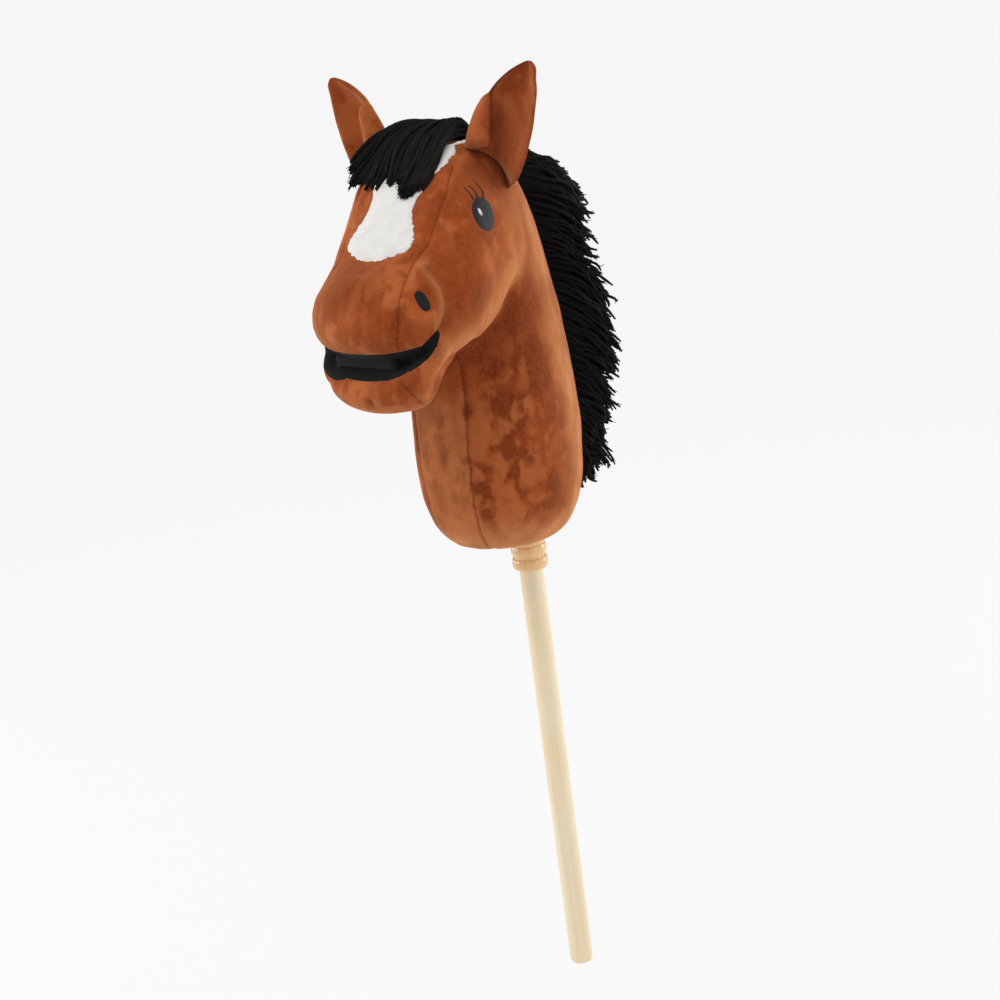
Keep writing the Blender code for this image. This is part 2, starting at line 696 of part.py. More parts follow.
def make_face(cover, black, white):
    for side, word in ((1, "left"), (-1, "right")):
        make_oval(f"{word}_eye", cover, side, EYE_PLACE, EYE_SIZE, EYE_TILT, PATCH_LIFT, black)
        glint = (EYE_PLACE[0] + GLINT_OFFSET[0], EYE_PLACE[1] + GLINT_OFFSET[1])
        over_eye = PATCH_LIFT + THREAD + CLEARANCE
        make_oval(f"{word}_eye_glint", cover, side, glint, GLINT_SIZE, EYE_TILT, over_eye, white, 2, 10)
        make_oval(f"{word}_nostril", cover, side, NOSTRIL_PLACE, NOSTRIL_SIZE, NOSTRIL_TILT, PATCH_LIFT, black)
        for number, degrees in enumerate(LASH_ANGLES, 1):
            make_lash(f"{word}_lash_{number}", cover, side, math.radians(degrees), black)


def make_lash(name, cover, side, lean, black):
    """A tapered stitched line that starts just clear of the eye's upper edge."""
    turn = math.pi / 2 + lean
    start = (EYE_SIZE[0] * math.cos(turn), EYE_SIZE[1] * math.sin(turn))
    steps = 4
    spots = []
    for k in range(steps + 1):
        far = CLEARANCE * 2 + LASH_LENGTH * k / steps
        heading = math.pi / 2 + LASH_SWEEP
        x = start[0] + far * math.cos(heading)
        y = start[1] + far * math.sin(heading)
        half = LASH_WIDTH / 2 * (1 - 0.6 * k / steps)
        spots += [(x - half * math.sin(heading), y + half * math.cos(heading)),
                  (x + half * math.sin(heading), y - half * math.cos(heading))]
    faces = grid_faces(steps + 1, 2)
    follow_cover(name, cover, side, EYE_PLACE, spots, faces, EYE_TILT, LASH_LIFT, black)


def nape_point(place, lift):
    """A point over the nape line, and the way that the cover faces there."""
    here = section_at(place)
    ahead = section_at(place + 0.05)
    behind = section_at(place - 0.05)
    along = Vector((0, (ahead.back[0] - behind.back[0]) * MM, (ahead.back[1] - behind.back[1]) * MM)).normalized()
    out = Vector((0, along.z, -along.y))
    spot = Vector((0, here.back[0] * MM, HEM + here.back[1] * MM))
    return spot + out * lift, out, along


def make_mane(tape_finish, yarn):
    columns = 3
    top = []
    bottom = []
    rows = MANE_ROWS
    for k in range(rows):
        place = MANE_FROM + (MANE_TO - MANE_FROM) * k / (rows - 1)
        section = section_at(place)
        for across in (-1, 0, 1):
            point, out, along = nape_point(place, 0.0)
            width = TAPE_HALF_WIDTH * across
            angle = math.asin(min(1.0, TAPE_HALF_WIDTH / MM / section.half) ** (1 / section.square))
            edge = section_point(section, angle)
            sunk = 0.0 if across == 0 else (edge - point).dot(out)
            base = point + Vector((width, 0, 0)) + out * (sunk + TAPE_LIFT)
            bottom.append(base)
            top.append(base + out * TAPE_THICKNESS)
    shell("mane_tape", grid_faces(rows, columns), top, bottom, tape_finish)

    bm = bmesh.new()
    outline = [(-MANE_ROOT_HALF, 0.0), (-0.75 * MANE_HALF_WIDTH, 0.45), (-MANE_HALF_WIDTH, 0.75),
               (-0.7 * MANE_HALF_WIDTH, 0.95), (0.0, 1.0), (0.7 * MANE_HALF_WIDTH, 0.95),
               (MANE_HALF_WIDTH, 0.75), (0.75 * MANE_HALF_WIDTH, 0.45), (MANE_ROOT_HALF, 0.0)]
    rings = []
    for k in range(rows):
        place = MANE_FROM + (MANE_TO - MANE_FROM) * k / (rows - 1)
        lift = TAPE_LIFT + TAPE_THICKNESS + CLEARANCE
        point, out, along = nape_point(place, lift)
        low_end = MANE_LOW_END[0] + MANE_LOW_END[1] * k / rows
        high_end = MANE_HIGH_END[0] + MANE_HIGH_END[1] * (rows - 1 - k) / rows
        taper = min(1.0, low_end, high_end)
        reach = (MANE_LENGTH + MANE_LOCK * math.cos(math.pi * k)) * taper
        ring = []
        for x, share in outline:
            droop = MANE_DROOP * share * share
            spread = 1.0 if share == 0.0 else taper
            ring.append(bm.verts.new(point + Vector((x * spread, 0, 0)) + out * reach * share - along * droop))
        rings.append(ring)
    for low, high in zip(rings, rings[1:]):
        for k in range(len(outline)):
            m = (k + 1) % len(outline)
            bm.faces.new([low[k], low[m], high[m], high[k]])
    bm.faces.new(rings[0])
    bm.faces.new(rings[-1])
    add_object("mane", mesh_from(bm, "mane"), yarn)


def make_forelock(yarn):
    """The fringe over the forehead, combed to the horse's right."""
    rows = FORELOCK_ROWS
    columns = FORELOCK_COLUMNS
    top = []
    bottom = []
    for i in range(rows):
        along = i / (rows - 1)
        for j in range(columns):
            across = 2 * j / (columns - 1) - 1
            reach = 1.0 + FORELOCK_LOCK * math.cos(math.pi * j)
            place = FORELOCK_FROM + FORELOCK_RUN * along * reach * (1 + FORELOCK_SLANT * across)
            left = FORELOCK_ROOT_ANGLE + FORELOCK_LEFT_SPREAD * along
            right = -FORELOCK_ROOT_ANGLE - FORELOCK_RIGHT_SPREAD * along ** 2
            angle = (left + right) / 2 + (left - right) / 2 * across
            section = section_at(place)
            low = section_point(section, abs(angle))
            if angle < 0:
                low.x = -low.x
            near = section_at(place - 0.05)
            before = section_point(near, abs(angle))
            beside = section_point(section, abs(angle) + 0.02)
            if angle < 0:
                before.x = -before.x
                beside.x = -beside.x
            normal = (low - before).cross(beside - low).normalized()
            if normal.z < 0:
                normal = -normal
            crown = math.sin(math.pi * (0.22 + 0.70 * along)) ** 0.8 * (1 - 0.55 * across * across)
            lift = FORELOCK_LIFT + FORELOCK_OVER_LASHES * along * max(0.0, -across)
            bottom.append(low + normal * lift)
            top.append(low + normal * (lift + FORELOCK_TIPS + FORELOCK_THICKNESS * crown))
    shell("forelock", grid_faces(rows, columns), top, bottom, yarn)


def main():
    clear_scene()
    wood = material("pale_wood", (0.80, 0.64, 0.40), 0.55)
    lacquer = material("lacquered_wood", (0.55, 0.30, 0.14), 0.25)
    tube_finish = material("brown_board", (0.45, 0.33, 0.22), 0.85)
    plush = material("bay_plush", (0.36, 0.10, 0.035), 0.95)
    white_plush = material("white_plush", (0.85, 0.83, 0.80), 0.95)
    lining = material("black_cloth", (0.012, 0.013, 0.015), 0.9)
    black_thread = material("black_thread", (0.02, 0.022, 0.026), 0.6)
    white_thread = material("white_thread", (0.8, 0.8, 0.8), 0.6)
    yarn = material("black_yarn", (0.012, 0.012, 0.013), 0.85)
    fibre = material("white_fibre", (0.8, 0.8, 0.78), 1.0)
    cover = Cover()
    spigot_top, tube_radius, plug_top = make_pole(wood, tube_finish, lacquer, black_thread)
    make_stuffing(cover, fibre, spigot_top, tube_radius, plug_top)
    make_cover(cover, plush, white_plush, lining)
    make_ears(cover, plush)
    make_face(cover, black_thread, white_thread)
    make_mane(black_thread, yarn)
    make_forelock(yarn)


main()
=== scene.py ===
"""Plush hobby horse, dressed over its CAD frame.

Everything is in metres in the CAD model's own frame: +Z runs up the stick, the horse faces -Y and its
left side is +X.
"""
import math

import bmesh
import bpy
import numpy as np
from mathutils import Matrix, Vector, noise
from mathutils.bvhtree import BVHTree
from mathutils.kdtree import KDTree


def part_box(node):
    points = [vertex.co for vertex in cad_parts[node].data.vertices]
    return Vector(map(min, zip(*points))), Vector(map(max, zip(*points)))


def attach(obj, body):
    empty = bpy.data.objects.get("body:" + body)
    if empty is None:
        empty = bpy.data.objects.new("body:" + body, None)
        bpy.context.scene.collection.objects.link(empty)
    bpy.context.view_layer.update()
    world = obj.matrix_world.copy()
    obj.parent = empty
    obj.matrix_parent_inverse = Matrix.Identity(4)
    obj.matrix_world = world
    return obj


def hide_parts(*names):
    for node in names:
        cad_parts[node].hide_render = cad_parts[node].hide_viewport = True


MM = 0.001
SEED = 11

# Camera, fitted to the photograph
CAMERA_AZIMUTH = math.radians(42)
CAMERA_ELEVATION = 0.30828930
CAMERA_ROLL = -0.13346827
CAMERA_DISTANCE = 1488.3 * MM
CAMERA_AIM_ASIDE = -19.94 * MM
CAMERA_AIM_HEIGHT = 483.37 * MM
CAMERA_LENS = 59.4
SENSOR_WIDTH = 36

# Studio
WORLD_LIGHT = 0.42
BACKGROUND = 0.93
FLOOR_GLOW = 0.965
FLOOR_GLOW_SHARE = 0.93
FLOOR = 60.0
LAMP_AIM = Vector((0, -0.03, 0.62))
# Lamps: how far each stands towards the camera, to its right and above the aim, then its size and power
LAMPS = {"key": (1.1, -0.9, 1.2, 1.3, 17), "fill": (1.3, 1.4, 0.2, 1.4, 8),
         "rim_left": (-0.4, -1.5, 0.1, 1.0, 10), "rim_right": (-0.6, 1.5, 0.5, 1.0, 12)}

# Colours of the bay pile, its seams and its thread, with the painted shade and painted sheen mixed into the
# pile
BAY_LYING = (0.275, 0.046, 0.0095)
BAY_PLAIN = (0.410, 0.088, 0.0215)
BAY_SMUDGE = (0.165, 0.023, 0.0048)
BAY_LIT = (0.550, 0.170, 0.0560)
# Pale colour of the painted sheen, also used for the paler throat and hem
BAY_SHEEN_PALE = (0.660, 0.260, 0.1000)
# Colour of the painted shade
BAY_SHADE = (0.150, 0.019, 0.0036)
BAY_SPECK = (0.520, 0.150, 0.0450)
# Colour of the painted shade in the seams' grooves
SEAM_SHADE = (0.120, 0.018, 0.0040)
SEAM_THREAD = (0.070, 0.0090, 0.0035)

# Stuffed body
HEM = 446.7 * MM
VOXEL = 2.2 * MM
CLOTH = 1.0 * MM
SEAM_DEPTH = 1.5 * MM
SEAM_WIDTH = 2.4 * MM
STITCH_PERIOD = 3.2 * MM
NO_SEAM = 20 * MM
PLUG_RADIUS = 19.0 * MM
BLAZE_PILE = 1.4 * MM
FULLNESS = 0.7 * MM
PUFF = 0.5 * MM
PUCKER = 0.5 * MM
LUMPS = 0.9 * MM
PUFF_PLACE = 9 * MM
PUFF_WIDTH = 6 * MM
LUMP_RATES = (22, 47)
PUCKER_RATE = 150
PUCKER_WIDTH = 9 * MM
MOUTH_INSET = 3.0 * MM
MOUTH_RIM = 1.5 * MM
SMOOTHING_ROUNDS = 34
CORNER_ROUNDS = 10
CORNER_WIDTH = 13 * MM
RAGGED_EDGE = 0.3 * MM
RAGGED_RATE = 520
CUT_MARGIN = 0.08
PANEL_EDGE_ANGLE = 0.9

# Zones of the cover, each edge with the place where it starts and the place where it is full
NEAR_MOUTH = (-14, -3)
FACE_BACK = (-45, -70)
FACE_LOW_EDGE = (203, 220)
MUZZLE_BACK = (-128, -140)
POLL_FRONT = (-74, -62)
POLL_LOW_EDGE = (290, 310)
NECK_TOP = (235, 190)
NECK_FRONT = (-128, -108)
THROAT_SIDE = (31, 24)
THROAT_BACK = (-55, -75)
THROAT_TOP = (175, 150)
HEM_BAND = (52, 20)
WHITE_PILE = (0, 2.5)
# Half the width of the strip along the nape whose seam is the middle line, and the blaze's rear limit
NAPE_HALF_WIDTH = 8 * MM
BLAZE_BACK = -30 * MM

# Folds in the cover, as points over the hem, and the depth, width, lip, shelf and reach of each
CHEEK_FOLD = [(66, -132, 200), (62, -112, 207), (52, -90, 210), (55, -72, 218), (61, -59, 235),
              (63, -46, 247), (61, -30, 258)]
CHEEK_FOLD_SIZES = (3.5, 5, 3.5, 6.0, 36)
MUZZLE_FOLD = [(66, -152, 229), (68, -146, 233), (68.7, -139.5, 240.7), (67.7, -135.8, 247.8),
               (66.2, -134, 253.7), (63.5, -133.5, 261.4), (57.3, -134.6, 271), (51.9, -136.9, 277.8)]
MUZZLE_FOLD_SIZES = (3.4, 3.6, 2.6, 0.8, 18)
# Shares of a fold's length over which it sets in and runs out, and of its reach that lip and shelf take
FOLD_START = 0.12
FOLD_END = 0.7
FOLD_SHOULDER = 0.45

# Places pressed into the cover: point over the hem, depth, which is below zero where the cover stands
# out, and width; the ones that end in False are on one side only
NOSTRIL_PLACE = (57, -151.7, 253.3)
NOSTRIL_DENT = (NOSTRIL_PLACE, 2.0, 8)
JAW_HOLLOW = ((62, -124, 192), 16, 18)
EAR_SWELLING = ((38, -28, 345), -6, 21)
CHIN_DIMPLE = ((8.4, -175.5, 175.5), 3.5, 5, False)
FAR_MOUTH_TUCK = ((-63, -148, 204), 9, 11, False)
JAW_REAR = ((52, -134, 181), 6.5, 17)
CHEEK_FLAT = ((73, -110, 213), 3.5, 13)
FAR_FOREHEAD = ((-52, -80, 338), -9, 26, False)
FAR_MOUTH_CORNER = (-60, -152, 209)
MUZZLE_CROWN = (-4, -162, 271)

# The lining's flat fold inside the mouth: its outer and inner edges across and upwards, how it sets in
# inside the lining's edge and from behind, and its front
LINING_FOLD_ACROSS = (-39, -36, 27, 30)
LINING_FOLD_UP = (198.5, 200.5, 208, 210)
LINING_FOLD_INSIDE = (1, 4)
LINING_FOLD_BACK = (-135, -142)
LINING_FOLD_FRONT = -164.5 * MM

# Corners of the mouth, each point with the lining's reach around it
MOUTH_TIP = [((44, -164.5, 203), 3.5), ((50, -161, 207.5), 5.0), ((57.5, -157, 214), 5.6),
             ((61, -155, 218.5), 4.8), ((63.7, -153.3, 221.6), 4.0), ((65.5, -151.5, 225), 3.2),
             ((67, -149.5, 228.5), 2.0)]
FAR_MOUTH_TIP = [((-24, -172, 195.5), 4.0), ((-33, -170, 195), 5.0), ((-42, -167, 197), 5.0),
                 ((-49, -163, 200), 5.0), ((-56, -155, 204), 7.2), ((-59.5, -151, 209), 7.5),
                 ((-62, -152, 216), 6.0), ((-65, -152, 222), 3.5), ((-67, -149.5, 228.5), 2.0)]

# The left seam of the face, from the poll over the nose and down the jaw
FACE_SEAM = [(24, -45, 350), (30, -60, 346), (35.7, -72.3, 343.2), (41.4, -85.8, 335.8), (45.5, -96.6, 326.6),
             (46.7, -110.6, 311.9), (47.1, -121.6, 298.2), (46.2, -127.4, 291.5), (43.1, -132.2, 286.2),
             (41.0, -142.3, 277.2), (42.2, -152.4, 268.4), (45.5, -163.8, 258.4), (47.7, -171.8, 243),
             (46.3, -172.9, 233.7), (43.1, -171.9, 222.2), (41, -168, 205), (38.4, -169.8, 193.2),
             (43, -170.3, 188.7), (45, -167.8, 183.3), (44.6, -162.8, 177.4), (40.8, -154, 170.9),
             (35, -142, 169), (30, -130, 172)]

# Lines of painted sheen along the edges of the cheek, the neck and the muzzle's fold, each with its width and
# strength
PALE_LINES = [
    ([(57, -25, 304), (60, -27, 288), (63, -32, 273), (65, -43, 259), (68, -61, 246), (67, -76, 233),
      (69.5, -98, 222), (73.5, -124, 215), (69, -138, 209)], 15, 0.70),
    ([(49, 0, 291), (52, 3, 260), (57, 1, 226), (60, 2, 191), (61, 8, 154), (62, 9, 108), (61, 10, 70),
      (57, 7, 35)], 19, 1.25),
    ([(50, -137, 280), (57, -137, 270), (62.5, -136.5, 261), (65, -137.5, 252), (66, -141, 243),
      (66, -147, 236)], 5, 0.8)]
# How much paler the front of the throat is painted
THROAT_PALE = 0.4

# Painted shade under the cheek's fold: how far it reaches, its width and strength, its front, how soft
# its edge is before and behind the share of the fold from which it softens
UNDER_CHEEK_REACH = 90 * MM
UNDER_CHEEK_WIDTH = 46 * MM
UNDER_CHEEK_SHADE = 1.15
UNDER_CHEEK_FRONT = (-135, -110)
UNDER_CHEEK_EDGES = (6, 50)
UNDER_CHEEK_SOFTENS = 0.7
# Painted shade in the muzzle's fold, over the muzzle's crown and in the chin's dimple
MUZZLE_FOLD_SHADE = 0.5
MUZZLE_FOLD_SHADE_WIDTH = 2.6 * MM
CROWN_SHADE = 0.7
CROWN_EDGE = (50, 14)
CROWN_STRETCH = (1.0, 1.2, 0.9)
DIMPLE_SHADE_WIDTH = 5.5 * MM

# Half of the blaze's outline, from the poll to the middle of its lower edge
BLAZE_OUTLINE = [(18, -36, 357), (26.5, -54, 352), (29, -62, 348.5), (30.5, -74, 344.8), (28, -90, 336),
                 (27, -100, 330), (24, -107, 324), (25, -114, 315), (31, -121, 303), (35, -127, 294),
                 (33, -132, 289), (26, -138, 286), (12, -144, 283), (0, -146, 282.5)]

# Ears, in millimetres over the hem
EAR_TIP = Vector((104.3, -47.8, 419))
EAR_ROOT = Vector((47.5, -55, 316))
EAR_HALF_WIDTH = 32
# Places along an ear, with its inner and outer shares of the half width
EAR_OUTLINE = [(0.0, 0.31, 0.66), (0.136, 0.56, 0.92), (0.28, 0.83, 0.95), (0.36, 0.93, 0.92),
               (0.447, 0.97, 0.87), (0.54, 1.01, 0.81), (0.67, 1.0, 0.68), (0.80, 0.89, 0.55),
               (0.874, 0.74, 0.41), (0.93, 0.54, 0.37), (0.965, 0.37, 0.31), (0.985, 0.22, 0.24),
               (1.0, 0.05, 0.12)]
EAR_PLACES, EAR_INNER, EAR_OUTER = zip(*EAR_OUTLINE)
# Places along an ear, with the width of the flap that is folded over its front
EAR_FLAP = [(0.0, 0.0), (0.34, 0.0), (0.385, 20), (0.42, 22), (0.476, 20), (0.62, 14.5), (0.73, 7),
            (0.80, 0.0), (1.0, 0.0)]
EAR_FULL_FLAP = 9
EAR_FLAP_CROWN = 1.8
# Radius of the inner edge's turn without a flap, and what a full flap adds
EAR_EDGE_RADIUS = 0.7
EAR_EDGE_GROWTH = 2.7
EAR_CUP = 14
EAR_TURN = math.radians(3)
EAR_THICKNESS = 4.6
EAR_LUMPS = 1.6
EAR_LUMP_RATE = 0.045
EAR_CREASE = ((51.5, 354.5), (81.5, 327.5))
EAR_FLAP_HEM = 361.5
EAR_BACKWARDS = Vector((-0.65, 0.755, -0.10))
EAR_BASE_REACH = 30
EAR_BASE_EXTRA = 4
# Distances past the crease over which the base is led back, and then sunk under the cover, and how deep
EAR_LED_BACK = (0.0, 5.0)
EAR_SUNK = (5.0, 14.0)
EAR_SINK_DEPTH = 3 * MM
RIGHT_EAR_SHIFT = 5.5
# Painted shade over the left and the right ear; more is added in each ear's hollow
LEFT_EAR_SHADE = 0.42
RIGHT_EAR_SHADE = 0.55
EAR_ROWS = 56
# Points across an ear: on the folded flap, round the turn and over the open leaf
EAR_FLAP_POINTS = 12
EAR_TURN_POINTS = 9
EAR_LEAF_POINTS = 24
EAR_RIM_POINTS = 5
EAR_FOLDED_POINTS = EAR_FLAP_POINTS + EAR_TURN_POINTS

# Satin stitched ovals: crown of the padding, squareness, place, long direction, half sizes and hole.
# The eye keeps its node's own place.
PATCHES = {"eye": (1.1, 2.05, None, (-0.394, 0.304, 0.866), (14.1, 12.4), 0.0),
           "eye_glint": (1.7, 1.6, (64.6, -81.2, 308.8), (-0.1, -0.05, 0.99), (4.6, 2.0), 0.0),
           "nostril": (0.9, 2.5, NOSTRIL_PLACE, (-0.516, -0.02, 0.857), (9.0, 4.7), 0.8)}
THREAD_PITCH = 0.9 * MM
PATCH_LIFT = 0.25 * MM
PATCH_DEPTH = 0.9 * MM
PATCH_RINGS = 9
PATCH_SPOKES = 44
# Lashes, each from the eyelid to its tip
LASHES = [[(60.8, -70, 318.4), (58.2, -66.5, 323.5), (53.3, -67.7, 330.4)],
          [(60.6, -76.5, 319), (57.6, -74.3, 323.8), (53.1, -77.0, 329.5)],
          [(60.0, -80.6, 319.1), (56.6, -80.4, 324.4), (52.1, -81.5, 329.2)]]

# Yarn
YARN_RADIUS = 1.5 * MM
YARN_SIDES = 6
YARN_TWIST = 2600.0
FIBRE_RADIUS = 0.5 * MM
FIBRE_SIDES = 4
FIBRE_STEPS = 5
FIBRE_LENGTH = 4.5 * MM
GOLDEN_SHARE = 0.618034
CLEAR_OF_COVER = 1.2 * MM
SEARCH_UNDER_COVER = 12 * MM

# Mane: the yarn leaves the nape in a narrow fan, and each strand is drawn to its lock
MANE_STRANDS = 2300
MANE_STEPS = 15
MANE_END = 0.975
MANE_FAN = math.radians(33)
MANE_HALF_ROOT = 5 * MM
MANE_BACKWARDS = (0, 0.6, -0.2)
MANE_WAVE = 3.2 * MM
MANE_SWAY = 7 * MM
LONG_STRANDS = (0.8, 1.04)
SHORT_STRANDS = (0.55, 0.8)
STRAND_DROOPS = (0.6, 1.35)
MANE_LOCKS = 160
LOCK_LENGTHS = (0.87, 1.05)
LOCK_DROOPS = (0.85, 1.25)
LOCK_SWAY = 5 * MM
LOCK_PULL = 0.66
# How much a difference in place and one in fan count when a strand takes its lock
PLACE_WEIGHT = 30
FAN_WEIGHT = 0.12
# Places along the nape from its low end to the poll, with a strand's greatest length and its droop
MANE_REACH = [(0.0, 27, 17), (0.07, 38, 27), (0.14, 43, 30), (0.21, 48, 32), (0.28, 52, 36), (0.35, 58, 40),
              (0.43, 61, 41), (0.5, 67, 42), (0.57, 71, 44), (0.64, 71, 40), (0.71, 64, 36), (0.78, 66, 36),
              (0.85, 67, 38), (0.92, 58, 38), (1.0, 42, 32)]

# Forelock: lines from the horse's right to its left, each from the poll to the strands' ends
FORELOCK_STRANDS = 340
FORELOCK_TUFTS = 8
TUFT_PULL = 0.65
TUFT_LENGTH = 3.4 * MM
TUFT_PHASE = 40
FORELOCK_GROUND = 1.6 * MM
FORELOCK_ROUTES = [
    [(-8, -14, 350), (-12, -26, 371), (-27.6, -50, 381), (-39.7, -73, 376), (-44, -88, 366), (-53, -98, 354)],
    [(-4, -14, 350), (-8, -26, 372), (-25.3, -50, 380), (-33.7, -73, 370), (-39, -88, 355), (-50, -98, 339)],
    [(2, -14, 350), (-1, -26, 374), (-14, -50, 376), (-16.6, -73, 366), (-14, -89, 353), (-11.7, -99, 337.6)],
    [(8, -14, 350), (3, -26, 376), (-1.6, -50, 373.5), (2.7, -73, 363), (8, -89, 346), (8.2, -99, 326)],
    [(13, -14, 350), (6, -26, 379), (5, -50, 370), (13, -73, 357), (19, -89, 343), (16, -99, 326.6)],
    [(18, -14, 350), (11, -26, 379), (12.5, -50, 367), (22.5, -73, 354), (28, -89, 341), (24, -99, 330)]]

SIDE_PANELS = ["left_side_panel", "right_side_panel"]
GUSSETS = ["face_panel", "throat_panel"]
LININGS = ["mouth_upper_lining", "mouth_lower_lining"]
FILLS = ["neck_stuffing", "head_stuffing", "jaw_stuffing"]


class Value:
    """A shader socket that Python's operators work on."""

    def __init__(self, nodes, socket):
        self.nodes = nodes
        self.socket = socket

    def maths(self, operation, *others):
        return self.nodes.node("ShaderNodeMath", {"operation": operation}, [self, *others])

    def __add__(self, other):
        return self.maths("ADD", other)

    __radd__ = __add__

    def __sub__(self, other):
        return self.maths("SUBTRACT", other)

    def __rsub__(self, other):
        return self.nodes.node("ShaderNodeMath", {"operation": "SUBTRACT"}, [other, self])

    def __mul__(self, other):
        return self.maths("MULTIPLY", other)

    __rmul__ = __mul__

    def __abs__(self):
        return self.maths("ABSOLUTE")

    def sine(self):
        return self.maths("SINE")

    def ramp(self, low, high):
        """0 below low, 1 above high and a smooth step between them."""
        return self.nodes.node("ShaderNodeMapRange", {"interpolation_type": "SMOOTHSTEP"}, [self, low, high])


class Nodes:
    """A node tree, and the one method that adds nodes to it."""

    def __init__(self, tree):
        self.tree = tree

    def node(self, kind, settings=None, values=(), output=0):
        made = self.tree.nodes.new(kind)
        for word, value in (settings or {}).items():
            setattr(made, word, value)
        pairs = values.items() if isinstance(values, dict) else enumerate(values)
        for key, value in pairs:
            self.feed(made.inputs[key], value)
        return Value(self, made.outputs[output])

    def feed(self, socket, value):
        if isinstance(value, Value):
            self.tree.links.new(value.socket, socket)
        else:
            socket.default_value = value


class Finish(Nodes):
    """A material with a Principled shader, and the nodes that feed it."""

    def __init__(self, name, colour=(0.5, 0.5, 0.5), roughness=0.6, **constants):
        self.material = bpy.data.materials.new(name)
        self.material.use_nodes = True
        super().__init__(self.material.node_tree)
        self.shader = self.tree.nodes["Principled BSDF"]
        self.shader.inputs["Base Color"].default_value = (*colour, 1.0)
        self.shader.inputs["Roughness"].default_value = roughness
        for word, value in constants.items():
            self.shader.inputs[word.replace("_", " ")].default_value = value

    def place(self):
        return self.node("ShaderNodeTexCoord", output="Object")

    def part(self, vector, axis):
        return self.node("ShaderNodeSeparateXYZ", values=[vector], output=axis)

    def attribute(self, name):
        return self.node("ShaderNodeAttribute", {"attribute_name": name}, output="Fac")

    def noise(self, size, detail=2.0, roughness=0.5, distortion=0.0, stretch=(1, 1, 1)):
        """Noise from 0 to 1 whose features are about size metres across."""
        where = self.node("ShaderNodeMapping", values={"Vector": self.place(), "Scale": stretch})
        return self.node("ShaderNodeTexNoise", values={"Vector": where, "Scale": 1 / size, "Detail": detail,
                                                       "Roughness": roughness, "Distortion": distortion})

    def mix(self, factor, first, second):
        """A colour that goes from first to second as factor goes from 0 to 1."""
        first, second = ((*c, 1.0) if isinstance(c, tuple) else c for c in (first, second))
        return self.node("ShaderNodeMix", {"data_type": "RGBA"}, {0: factor, 6: first, 7: second}, 2)

    def bump(self, height, distance, strength=1.0):
        return self.node("ShaderNodeBump", values={"Height": height, "Distance": distance,
                                                   "Strength": strength})

    def set(self, word, value):
        self.feed(self.shader.inputs[word], value)


def put(thing, finish):
    """Give a piece one finish."""
    thing.data.materials.clear()
    thing.data.materials.append(finish.material)


def object_from(name, mesh, finish):
    """A finished piece in the scene that rides on the head."""
    thing = bpy.data.objects.new(name, mesh)
    bpy.context.scene.collection.objects.link(thing)
    put(thing, finish)
    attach(thing, "head")
    return thing


def mesh_of(points, faces, name):
    """A smooth mesh from points and faces."""
    mesh = bpy.data.meshes.new(name)
    mesh.from_pydata([tuple(p) for p in points], [], [tuple(f) for f in faces])
    mesh.update()
    mesh.shade_smooth()
    return mesh


def keep_values(mesh, name, values):
    """Keep one value for each point of a mesh, for its finish to read."""
    kept = mesh.attributes.new(name, "FLOAT", "POINT")
    kept.data.foreach_set("value", values.astype(np.float32))


def ring_faces(rings, spokes, start=0):
    """The quads between rings of points that follow each other."""
    faces = []
    for low in range(start, start + rings * spokes, spokes):
        for k in range(spokes):
            m = (k + 1) % spokes
            faces.append([low + k, low + m, low + spokes + m, low + spokes + k])
    return faces


def closed(mesh, gap=0.0):
    """Join the points of a closed mesh that lie within a gap, and turn its faces outwards."""
    bm = bmesh.new()
    bm.from_mesh(mesh)
    if gap:
        bmesh.ops.remove_doubles(bm, verts=bm.verts, dist=gap)
    bmesh.ops.recalc_face_normals(bm, faces=bm.faces)
    bm.to_mesh(mesh)
    bm.free()
    mesh.shade_smooth()
    return mesh


# Finishes

